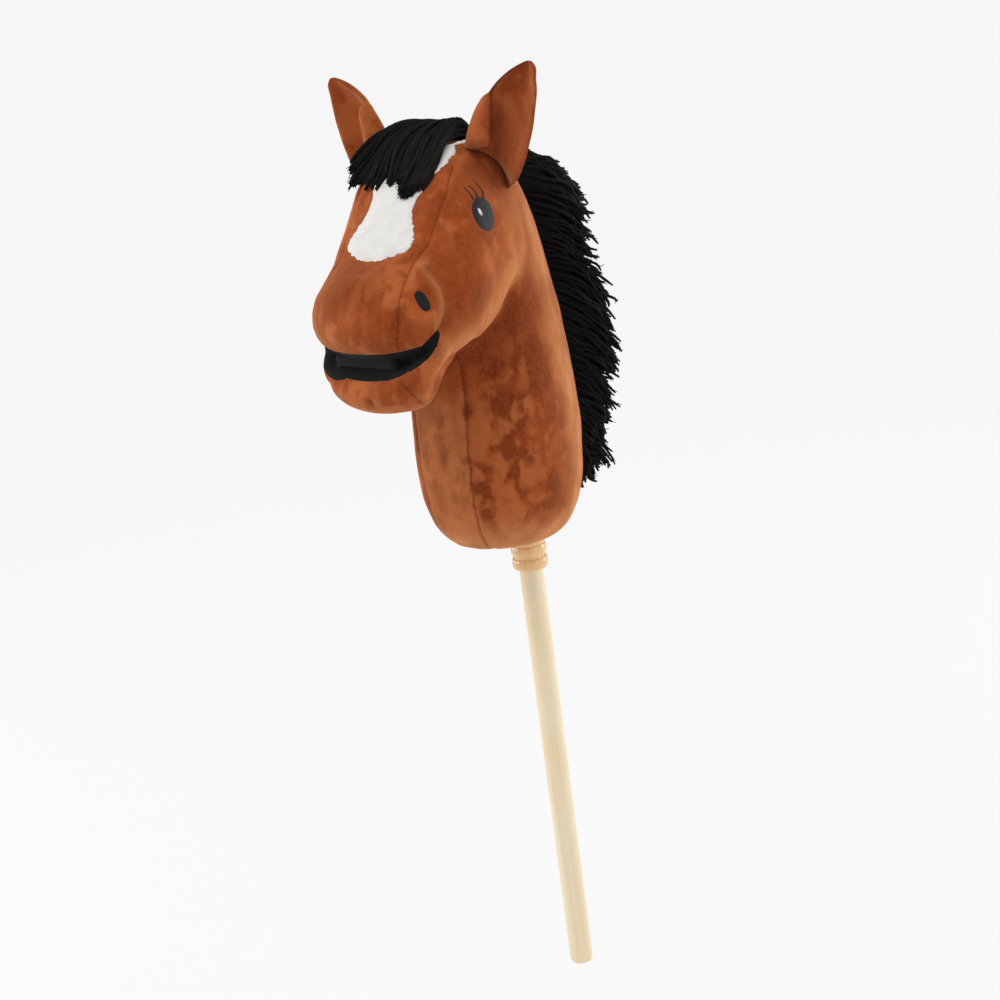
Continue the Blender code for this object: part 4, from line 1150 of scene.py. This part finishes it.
def ear_line(along):
    """The middle line across an ear from the flap's free edge to the outer edge, as (outwards, forwards)."""
    inner = EAR_HALF_WIDTH * np.interp(along, EAR_PLACES, EAR_INNER)
    outer = EAR_HALF_WIDTH * np.interp(along, EAR_PLACES, EAR_OUTER)
    flap = np.interp(along, *zip(*EAR_FLAP))
    full = min(1.0, flap / EAR_FULL_FLAP)
    turn = EAR_EDGE_RADIUS + EAR_EDGE_GROWTH * full
    cup = EAR_CUP * (inner + outer) / (2 * EAR_HALF_WIDTH)
    start = -inner + turn
    line = []
    for k in range(EAR_FLAP_POINTS):
        t = k / (EAR_FLAP_POINTS - 1)
        line.append((start + flap * (1 - t), 2 * turn + EAR_FLAP_CROWN * math.sin(math.pi * t) * full))
    for k in range(1, EAR_TURN_POINTS + 1):
        angle = math.pi * k / EAR_TURN_POINTS
        line.append((-inner + turn * (1 - math.sin(angle)), turn * (1 + math.cos(angle))))
    rim = cup * ((start / inner) ** 2 - 1)
    for k in range(1, EAR_LEAF_POINTS + 1):
        u = start + (outer - start) * k / EAR_LEAF_POINTS
        across = u / outer if u > 0 else u / inner
        settled = min(1.0, k / EAR_RIM_POINTS)
        line.append((u, cup * (across * across - 1) - rim * (1 - settled)))
    return np.array(line)


def ear_middle():
    """The left ear's middle surface, a row of points for each place along it, in millimetres over the hem."""
    outwards = np.array([math.cos(EAR_TURN), math.sin(EAR_TURN), 0])
    forwards = np.array([math.sin(EAR_TURN), -math.cos(EAR_TURN), 0])
    rows = []
    for i in range(EAR_ROWS + 1):
        line = ear_line(i / EAR_ROWS)
        spine = np.array(EAR_ROOT.lerp(EAR_TIP, i / EAR_ROWS))
        rows.append(spine + outwards * line[:, :1] + forwards * line[:, 1:])
    middle = np.array(rows)
    for _ in range(5):
        middle[1:-1] += ((middle[:-2] + middle[2:]) / 2 - middle[1:-1]) * 0.5
        middle[:, 1:-1] += ((middle[:, :-2] + middle[:, 2:]) / 2 - middle[:, 1:-1]) * 0.5
    return middle, forwards


def tuck_in(middle, side, tree):
    """Lead an ear's base back into the cover, from the crease downwards."""
    (x0, z0), (x1, z1) = EAR_CREASE
    down = np.array([-(z0 - z1), 0, -(x1 - x0)], float)
    down /= np.linalg.norm(down)
    past = (middle - np.array([x0, 0, z0])) @ down
    folded = past[:, :EAR_FOLDED_POINTS]
    folded[:] = np.maximum(folded, EAR_FLAP_HEM - middle[:, :EAR_FOLDED_POINTS, 2])
    into = Vector((EAR_BACKWARDS.x * side, EAR_BACKWARDS.y, EAR_BACKWARDS.z))
    for i, k in np.argwhere(past > 0):
        hit, normal, _, far = tree.ray_cast(Vector(at_hem(middle[i, k], side)), into)
        if hit is None:
            far = EAR_BASE_REACH
        elif normal.dot(into) > 0:
            far = 0.0
        else:
            far = min(far / MM + EAR_BASE_EXTRA, EAR_BASE_REACH)
        middle[i, k] += np.array(EAR_BACKWARDS) * far * smoothstep(*EAR_LED_BACK, past[i, k])
        spot = Vector(at_hem(middle[i, k], side))
        hit, normal, _, _ = tree.find_nearest(spot)
        if (spot - hit).dot(normal) > -EAR_SINK_DEPTH:
            sunk = np.array(spot.lerp(hit - normal * EAR_SINK_DEPTH, smoothstep(*EAR_SUNK, past[i, k])))
            middle[i, k] = (sunk - at_hem((0, 0, 0))) / MM * (side, 1, 1)


def make_ear(side, word, plush, tree):
    """A stuffed ear: a cupped leaf of plush, its inner edge folded over its front and its base tucked in."""
    middle, forwards = ear_middle()
    tuck_in(middle, side, tree)
    apart = Vector((side * 9, 0, 0))
    lumps = np.array([[noise.noise(Vector(p) * EAR_LUMP_RATE + apart) for p in row] for row in middle])
    middle = middle + forwards * (lumps * EAR_LUMPS)[..., None]
    facing = np.cross(np.gradient(middle, axis=1), np.gradient(middle, axis=0))
    facing /= np.linalg.norm(facing, axis=2)[:, :, None] + 1e-9

    share = np.linspace(0, 1, EAR_ROWS + 1)
    across = middle.shape[1]
    edge = np.abs(np.linspace(-1, 1, across))
    narrow = np.minimum(1.0, 0.25 + np.interp(share, EAR_PLACES, EAR_INNER) * 1.4)
    thick = 0.5 * EAR_THICKNESS * narrow[:, None] * np.sqrt(1.0 - 0.97 * edge ** 12)[None]
    folded = np.minimum(1.0, np.interp(share, *zip(*EAR_FLAP)) / 4)
    folded[:EAR_ROWS // 2] = 1.0
    rim = np.clip((np.arange(across) - (EAR_FOLDED_POINTS - 2)) / EAR_RIM_POINTS, 0.0, 1.0)
    thick = thick * np.maximum(folded[:, None], np.sqrt(rim * (2 - rim))[None])
    front = middle - facing * thick[..., None]
    rear = middle + facing * thick[..., None]
    rings = np.concatenate([front, rear[:, ::-1]], axis=1)
    count = rings.shape[1]
    points = rings.reshape(-1, 3) + (0 if side > 0 else RIGHT_EAR_SHIFT, 0, 0)
    points = np.array([at_hem(p, side) for p in points])
    ends = [list(range(count)), [EAR_ROWS * count + k for k in range(count)]]
    mesh = closed(mesh_of(points, ring_faces(EAR_ROWS, count) + ends, f"{word}_ear"))

    hollow = np.zeros((EAR_ROWS + 1, count))
    open_from = EAR_FOLDED_POINTS - 3
    hollow[:, open_from:across] = 1 - np.abs(np.linspace(-1, 1, across - open_from)) ** 6
    hollow = hollow.ravel()
    keep_values(mesh, "seam", np.full(len(points), NO_SEAM))
    keep_values(mesh, "along", np.zeros(len(points)))
    # The pile's smudges are stronger in the hollow, where they also darken it as painted shade; painted shade
    # lies over each ear and deeper in its hollow
    keep_values(mesh, "mottle", 0.25 + 0.4 * hollow)
    keep_values(mesh, "shade", (LEFT_EAR_SHADE if side > 0 else RIGHT_EAR_SHADE) + 0.35 * hollow)
    ear = object_from(f"{word}_ear", mesh, plush)
    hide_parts(f"{word}_ear_inner", f"{word}_ear_back")


# Stitched face

def flat_frame(node, side):
    """The middle of a flat CAD node, and its facing out of the horse's side."""
    points = np.array([tuple(v.co) for v in nodes[node].data.vertices])
    middle = (points.max(0) + points.min(0)) / 2
    facing = np.linalg.svd(points - points.mean(0), full_matrices=False)[2][2]
    return middle, facing * (1 if facing[0] * side > 0 else -1)


def on_surface(tree, point, facing):
    """Where a line that comes from outside meets the cover."""
    start = Vector(point + facing * 15 * MM)
    hit, normal, _, _ = tree.ray_cast(start, Vector(-facing))
    if hit is None:
        hit, normal, _, _ = tree.find_nearest(start)
    return np.array(hit), np.array(normal)


def make_patch(tree, node, side, finish, crown, square, place, long, halves, hole):
    """An oval of satin stitch that follows the cover, crowned by its padding."""
    middle, facing = flat_frame(node, side)
    if place:
        middle = at_hem(place, side)
    tall = np.array(long) * (side, 1, 1)
    wide = np.cross(facing, tall)
    high, broad = halves[0] * MM, halves[1] * MM
    front = []
    rear = []
    for i in range(PATCH_RINGS + 1):
        r = i / PATCH_RINGS
        padding = crown * MM * (1 - r ** 4) - 0.3 * MM * r ** 8 - hole * MM * bell(r, 0.3)
        for k in range(PATCH_SPOKES):
            angle = 2 * math.pi * k / PATCH_SPOKES
            c, s = math.cos(angle), math.sin(angle)
            u = abs(c) ** (2 / square) * math.copysign(broad * r, c)
            v = abs(s) ** (2 / square) * math.copysign(high * r, s)
            hit, _ = on_surface(tree, middle + wide * u + tall * v, facing)
            front.append(hit + facing * (padding + PATCH_LIFT))
            rear.append(hit - facing * (PATCH_DEPTH + hole * MM))
    faces = [face[::-1] for face in ring_faces(PATCH_RINGS, PATCH_SPOKES)]
    faces += ring_faces(PATCH_RINGS, PATCH_SPOKES, len(front))
    outer = PATCH_RINGS * PATCH_SPOKES
    for k in range(PATCH_SPOKES):
        m = (k + 1) % PATCH_SPOKES
        faces.append([outer + len(front) + k, outer + len(front) + m, outer + m, outer + k])
    mesh = closed(mesh_of(front + rear, faces, f"{node}_patch"), 0.005 * MM)
    patch = object_from(f"{node}_patch", mesh, finish)
    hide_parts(node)


def make_face(tree):
    """The eyes with their glints and lashes, and the nostrils, all stitched."""
    dark = satin_thread("black_thread", (0.010, 0.013, 0.016), (0.026, 0.032, 0.038), math.radians(20))
    deep = satin_thread("nostril_thread", (0.003, 0.005, 0.006), (0.009, 0.012, 0.014), math.radians(60))
    pale = satin_thread("white_thread", (0.70, 0.70, 0.69), (0.90, 0.90, 0.89), math.radians(20))
    for side, word in ((1, "left"), (-1, "right")):
        for part, finish in (("eye", dark), ("eye_glint", pale), ("nostril", deep)):
            make_patch(tree, f"{word}_{part}", side, finish, *PATCHES[part])
        for k, controls in enumerate(LASHES):
            make_lash(tree, f"{word}_lash_{k + 1}", side, controls, dark)


def make_lash(tree, node, side, controls, finish):
    """A lash: one raised line of stitches, wide at the lid and fine at its tip."""
    _, facing = flat_frame(node, side)
    line = []
    for spot in hem_curve(controls, side, 6):
        hit, normal = on_surface(tree, spot, facing)
        line.append(hit + normal * 0.2 * MM)
    radii = np.linspace(0.75, 0.30, len(line))[None, :] * MM
    lash = object_from(f"{node}_thread", tubes(np.array([line]), radii, 8, node), finish)
    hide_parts(node)


# Yarn

def tubes(lines, radii, sides, name):
    """One mesh of round strands along many lines of the same number of points."""
    count, steps, _ = lines.shape
    radii = np.broadcast_to(radii, (count, steps))
    heading = np.gradient(lines, axis=1)
    heading /= np.linalg.norm(heading, axis=2)[:, :, None] + 1e-12
    guide = np.where(np.abs(heading[:, 0, 2:3]) < 0.8, [[0.0, 0.0, 1.0]], [[1.0, 0.0, 0.0]])
    across = np.cross(heading[:, 0], guide)
    points = np.empty((count, steps, sides, 3))
    angles = np.arange(sides) * 2 * math.pi / sides
    cosines = np.cos(angles)[None, :, None]
    sines = np.sin(angles)[None, :, None]
    for k in range(steps):
        along = heading[:, k]
        across = across - along * (across * along).sum(1)[:, None]
        across /= np.linalg.norm(across, axis=1)[:, None] + 1e-12
        over = np.cross(along, across)
        ring = across[:, None, :] * cosines + over[:, None, :] * sines
        points[:, k] = lines[:, k, None, :] + ring * radii[:, k, None, None]

    k, m = (grid.ravel() for grid in np.meshgrid(np.arange(steps - 1), np.arange(sides), indexing="ij"))
    n = (m + 1) % sides
    quad = np.stack([k * sides + m, k * sides + n, (k + 1) * sides + n, (k + 1) * sides + m], 1)
    starts = np.arange(count) * steps * sides
    quads = (quad[None] + starts[:, None, None]).reshape(-1, 4)
    first = np.arange(sides)[::-1]
    last = (steps - 1) * sides + np.arange(sides)
    caps = (np.stack([first, last])[None] + starts[:, None, None]).reshape(-1, sides)
    corners = np.concatenate([quads.ravel(), caps.ravel()])
    sizes = np.concatenate([np.full(len(quads), 4), np.full(len(caps), sides)])
    mesh = bpy.data.meshes.new(name)
    mesh.vertices.add(points.size // 3)
    mesh.vertices.foreach_set("co", points.ravel())
    mesh.loops.add(len(corners))
    mesh.loops.foreach_set("vertex_index", corners)
    mesh.polygons.add(len(sizes))
    mesh.polygons.foreach_set("loop_start", np.concatenate([[0], sizes.cumsum()[:-1]]))
    mesh.polygons.foreach_set("loop_total", sizes)
    mesh.update(calc_edges=True)

    runs = np.linalg.norm(np.diff(lines, axis=1), axis=2).cumsum(1)
    runs = np.concatenate([np.zeros((count, 1)), runs], 1)
    around = np.zeros((len(corners), 2))
    around[:quads.size, 0] = np.tile(np.stack([m, m + 1, m + 1, m], 1).ravel() / sides, count)
    around[:quads.size, 1] = runs[:, np.stack([k, k, k + 1, k + 1], 1).ravel()].ravel()
    mesh.uv_layers.new(name="strand").data.foreach_set("uv", around.ravel())
    mesh.validate()
    mesh.shade_smooth()
    return mesh


def join_meshes(meshes, name):
    """One mesh made of several."""
    bm = bmesh.new()
    for mesh in meshes:
        bm.from_mesh(mesh)
    joined = bpy.data.meshes.new(name)
    bm.to_mesh(joined)
    bm.free()
    return joined


def frayed(lines, rng, each, spread):
    """Fine fibres that come loose at the strands' tips."""
    count = len(lines)
    heading = lines[:, -1] - lines[:, -3]
    heading /= np.linalg.norm(heading, axis=1)[:, None]
    start = lines[:, -2][:, None, :]
    t = np.linspace(0, 1, FIBRE_STEPS)[None, :, None]
    made = []
    for _ in range(each):
        stray = rng.normal(size=(count, 3))
        stray -= heading * (stray * heading).sum(1)[:, None]
        stray /= np.linalg.norm(stray, axis=1)[:, None]
        reach = (FIBRE_LENGTH * rng.uniform(0.6, 1.2, count))[:, None, None]
        wide = (spread * rng.uniform(0.3, 1.2, count))[:, None, None]
        curl = rng.normal(size=(count, 3)) * 0.25
        path = start + heading[:, None] * reach * t + stray[:, None] * wide * t ** 1.5
        made.append(path + curl[:, None] * reach * t ** 2)
    return np.concatenate(made)


def strand_piece(lines, rng, name, each, spread):
    """Strands of yarn, each with a few fibres that spread from its tip, as one piece."""
    radii = np.full(lines.shape[1], YARN_RADIUS)
    radii[-1] *= 0.55
    radii[-2] *= 0.9
    thick = tubes(lines, radii * rng.uniform(0.85, 1.1, (len(lines), 1)), YARN_SIDES, name)
    fibres = frayed(lines, rng, each, spread)
    thin = tubes(fibres, np.linspace(1.0, 0.45, FIBRE_STEPS) * FIBRE_RADIUS, FIBRE_SIDES, name)
    return join_meshes([thick, thin], name)


def lifted(tree, path):
    """How far each point of some strands has to move to stay outside the cover."""
    moved = np.zeros_like(path)
    for i, k in np.ndindex(path.shape[:2]):
        point = Vector(path[i, k])
        hit, normal, _, far = tree.find_nearest(point)
        height = (point - hit).dot(normal)
        if height < CLEAR_OF_COVER and (far < SEARCH_UNDER_COVER or height < 0):
            moved[i, k] = np.array(normal) * (CLEAR_OF_COVER - height)
    return moved


def nape_line(tree):
    """The middle of the mane's tape, from its low end to the poll."""
    spots = {}
    for vert in nodes["mane_tape"].data.vertices:
        if abs(vert.co.x) < 0.1 * MM:
            far = tree.find_nearest(vert.co)[3]
            key = round(vert.co.z / (6 * MM))
            if key not in spots or spots[key][0] < far:
                spots[key] = (far, vert.co.copy())
    line = np.array([spots[key][1] for key in sorted(spots)])
    for _ in range(3):
        line[1:-1] += ((line[:-2] + line[2:]) / 2 - line[1:-1]) * 0.5
    return curve_points(line, 8)


def mane_paths(nape, place, fan, length, droop, lean):
    """Strands from places along the nape, fanned to a side, that droop and lean along it by their end."""
    heading = np.gradient(nape, axis=0)
    heading /= np.linalg.norm(heading, axis=1)[:, None]
    k = place * (len(nape) - 1)
    low = np.clip(k.astype(int), 0, len(nape) - 2)
    part = (k - low)[:, None]
    base = nape[low] * (1 - part) + nape[low + 1] * part
    along = heading[low]
    away = np.stack([along[:, 0], along[:, 2], -along[:, 1]], 1) * 0.4 + MANE_BACKWARDS
    away /= np.linalg.norm(away, axis=1)[:, None]
    side = np.array([1.0, 0.0, 0.0])
    root = base + side * (fan * MANE_HALF_ROOT)[:, None]
    angle = fan * MANE_FAN
    share = np.linspace(0, 1, MANE_STEPS)[None, :, None]
    reach = (length * np.cos(angle))[:, None, None]
    wide = (length * np.sin(angle))[:, None, None]
    path = root[:, None] + away[:, None] * reach * (share ** 0.92)
    path = path + side * wide * np.sin(share * math.pi / 2)
    path = path - along[:, None] * droop[:, None, None] * share ** 1.7
    return path + along[:, None] * lean[:, None, None] * share


def make_mane(tree, yarn):
    """Strands sewn along the nape, fanned to both sides, that hang back and down in ragged locks."""
    rng = np.random.default_rng(SEED)
    nape = nape_line(tree)
    places, lengths, droops = np.array(MANE_REACH).T

    def length_at(place):
        return np.interp(place, places, lengths) * MM

    def droop_at(place):
        return np.interp(place, places, droops) * MM

    lock_place = (np.arange(MANE_LOCKS) + rng.uniform(0.0, 1.0, MANE_LOCKS)) / MANE_LOCKS
    lock_fan = rng.uniform(-1, 1, MANE_LOCKS)
    lock_length = length_at(lock_place) * rng.uniform(*LOCK_LENGTHS, MANE_LOCKS)
    lock_droop = droop_at(lock_place) * rng.uniform(*LOCK_DROOPS, MANE_LOCKS)
    lock_lean = rng.normal(0, LOCK_SWAY, MANE_LOCKS)
    lock_path = mane_paths(nape, lock_place, lock_fan, lock_length, lock_droop, lock_lean)

    number = np.arange(MANE_STRANDS)
    place = MANE_END * (number + rng.uniform(size=MANE_STRANDS)) / MANE_STRANDS
    fan = 2 * ((number * GOLDEN_SHARE) % 1.0) - 1
    place_gap = (place[:, None] - lock_place[None]) ** 2
    fan_gap = (fan[:, None] - lock_fan[None]) ** 2
    mine = (place_gap * PLACE_WEIGHT + fan_gap * FAN_WEIGHT).argmin(1)
    short = rng.uniform(*SHORT_STRANDS, MANE_STRANDS)
    share = np.where(number % 3 == 0, short, rng.uniform(*LONG_STRANDS, MANE_STRANDS))
    length = length_at(place) * share
    droop = droop_at(place) * share * rng.uniform(*STRAND_DROOPS, MANE_STRANDS)
    path = mane_paths(nape, place, fan, length, droop, rng.normal(0, MANE_SWAY, MANE_STRANDS))
    t = np.linspace(0, 1, MANE_STEPS)[None, :, None]
    pull = LOCK_PULL * t ** 2.1
    path = path * (1 - pull) + lock_path[mine] * pull
    waves = rng.uniform(0, 2 * math.pi, (MANE_STRANDS, 3))[:, None]
    rate = rng.uniform(0.9, 2.4, (MANE_STRANDS, 3))[:, None]
    swing = np.sin(waves + rate * t * 2 * math.pi) - np.sin(waves)
    path = path + swing * MANE_WAVE * t ** 1.3
    path = path + lifted(tree, path)
    mesh = strand_piece(path, rng, "mane_yarn", 3, 2.0 * MM)
    mane = object_from("mane_yarn", mesh, yarn)
    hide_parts("mane")


def make_forelock(tree, yarn):
    """Strands from the poll, combed over the forehead to the horse's right, thick at their crest."""
    rng = np.random.default_rng(SEED + 1)
    routes = np.array([hem_curve(route, steps=5) for route in FORELOCK_ROUTES])
    steps = routes.shape[1]
    share = np.linspace(0, 1, steps)
    step = np.arange(steps)
    lines = []
    for number in range(FORELOCK_STRANDS):
        t = (number * GOLDEN_SHARE) % 1.0
        depth = 0.12 + 0.88 * rng.uniform() ** 0.7
        tuft = (round(t * FORELOCK_TUFTS - 0.5) + 0.5) / FORELOCK_TUFTS
        across = np.clip(t + (tuft - t) * TUFT_PULL * share ** 3 + rng.normal(0, 0.02), 0.0, 1.0)
        place = across * (len(routes) - 1)
        low = np.minimum(place.astype(int), len(routes) - 2)
        part = (place - low)[:, None]
        route = routes[low, step] * (1 - part) + routes[low + 1, step] * part
        longer = TUFT_LENGTH * math.sin(tuft * TUFT_PHASE) + rng.normal(0, 4.0) * MM - 4 * MM * (1 - depth)
        last = route[-1] - route[-2]
        route = route + last / np.linalg.norm(last) * (longer * share[:, None] ** 3)
        line = []
        for k in range(steps):
            hit, normal, _, _ = tree.find_nearest(Vector(route[k]))
            ground = np.array(hit) + np.array(normal) * FORELOCK_GROUND
            line.append(ground + (route[k] - ground) * (depth if k > 2 else 1.0))
        line = np.array(line)
        for _ in range(4):
            line[1:-1] = line[1:-1] * 0.5 + (line[:-2] + line[2:]) * 0.25
        wave = rng.normal(0, 1.1, 3) * MM
        line += wave * np.sin(share * 2 * math.pi * rng.uniform(0.5, 1.3) + rng.uniform(0, 6))[:, None]
        lines.append(line)
    lines = np.array(lines)
    lines[:, 3:] += lifted(tree, lines[:, 3:])
    mesh = strand_piece(lines, rng, "forelock_yarn", 4, 2.4 * MM)
    forelock = object_from("forelock_yarn", mesh, yarn)
    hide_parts("forelock")


def main_pieces():
    """Every soft piece, and the finishes of the CAD's own pieces."""
    plush = bay_plush()
    tree = dress_body(plush)
    make_ear(1, "left", plush, tree)
    make_ear(-1, "right", plush, tree)
    make_face(tree)
    yarn = twisted_yarn()
    make_mane(tree, yarn)
    make_forelock(tree, yarn)
    put(nodes["stick"], pale_wood())
    put(nodes["collar"], lacquered_wood())
    put(nodes["mane_tape"], plain_fabric("black_tape", (0.012, 0.012, 0.013)))
    put(nodes["hem_tie"], plain_fabric("hem_cord", (0.02, 0.02, 0.02)))
    put(nodes["socket_tube"], plain_fabric("brown_board", (0.30, 0.19, 0.11)))
    put(nodes["socket_plug"], pale_wood())


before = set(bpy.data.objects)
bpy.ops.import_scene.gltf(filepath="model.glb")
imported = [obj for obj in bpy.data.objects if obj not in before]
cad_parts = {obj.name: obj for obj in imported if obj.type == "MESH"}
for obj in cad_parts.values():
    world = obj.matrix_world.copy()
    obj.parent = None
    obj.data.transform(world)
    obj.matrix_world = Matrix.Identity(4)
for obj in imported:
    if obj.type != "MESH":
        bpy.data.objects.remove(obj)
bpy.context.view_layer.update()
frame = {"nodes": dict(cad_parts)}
nodes = frame["nodes"]
set_studio(*set_camera())
main_pieces()
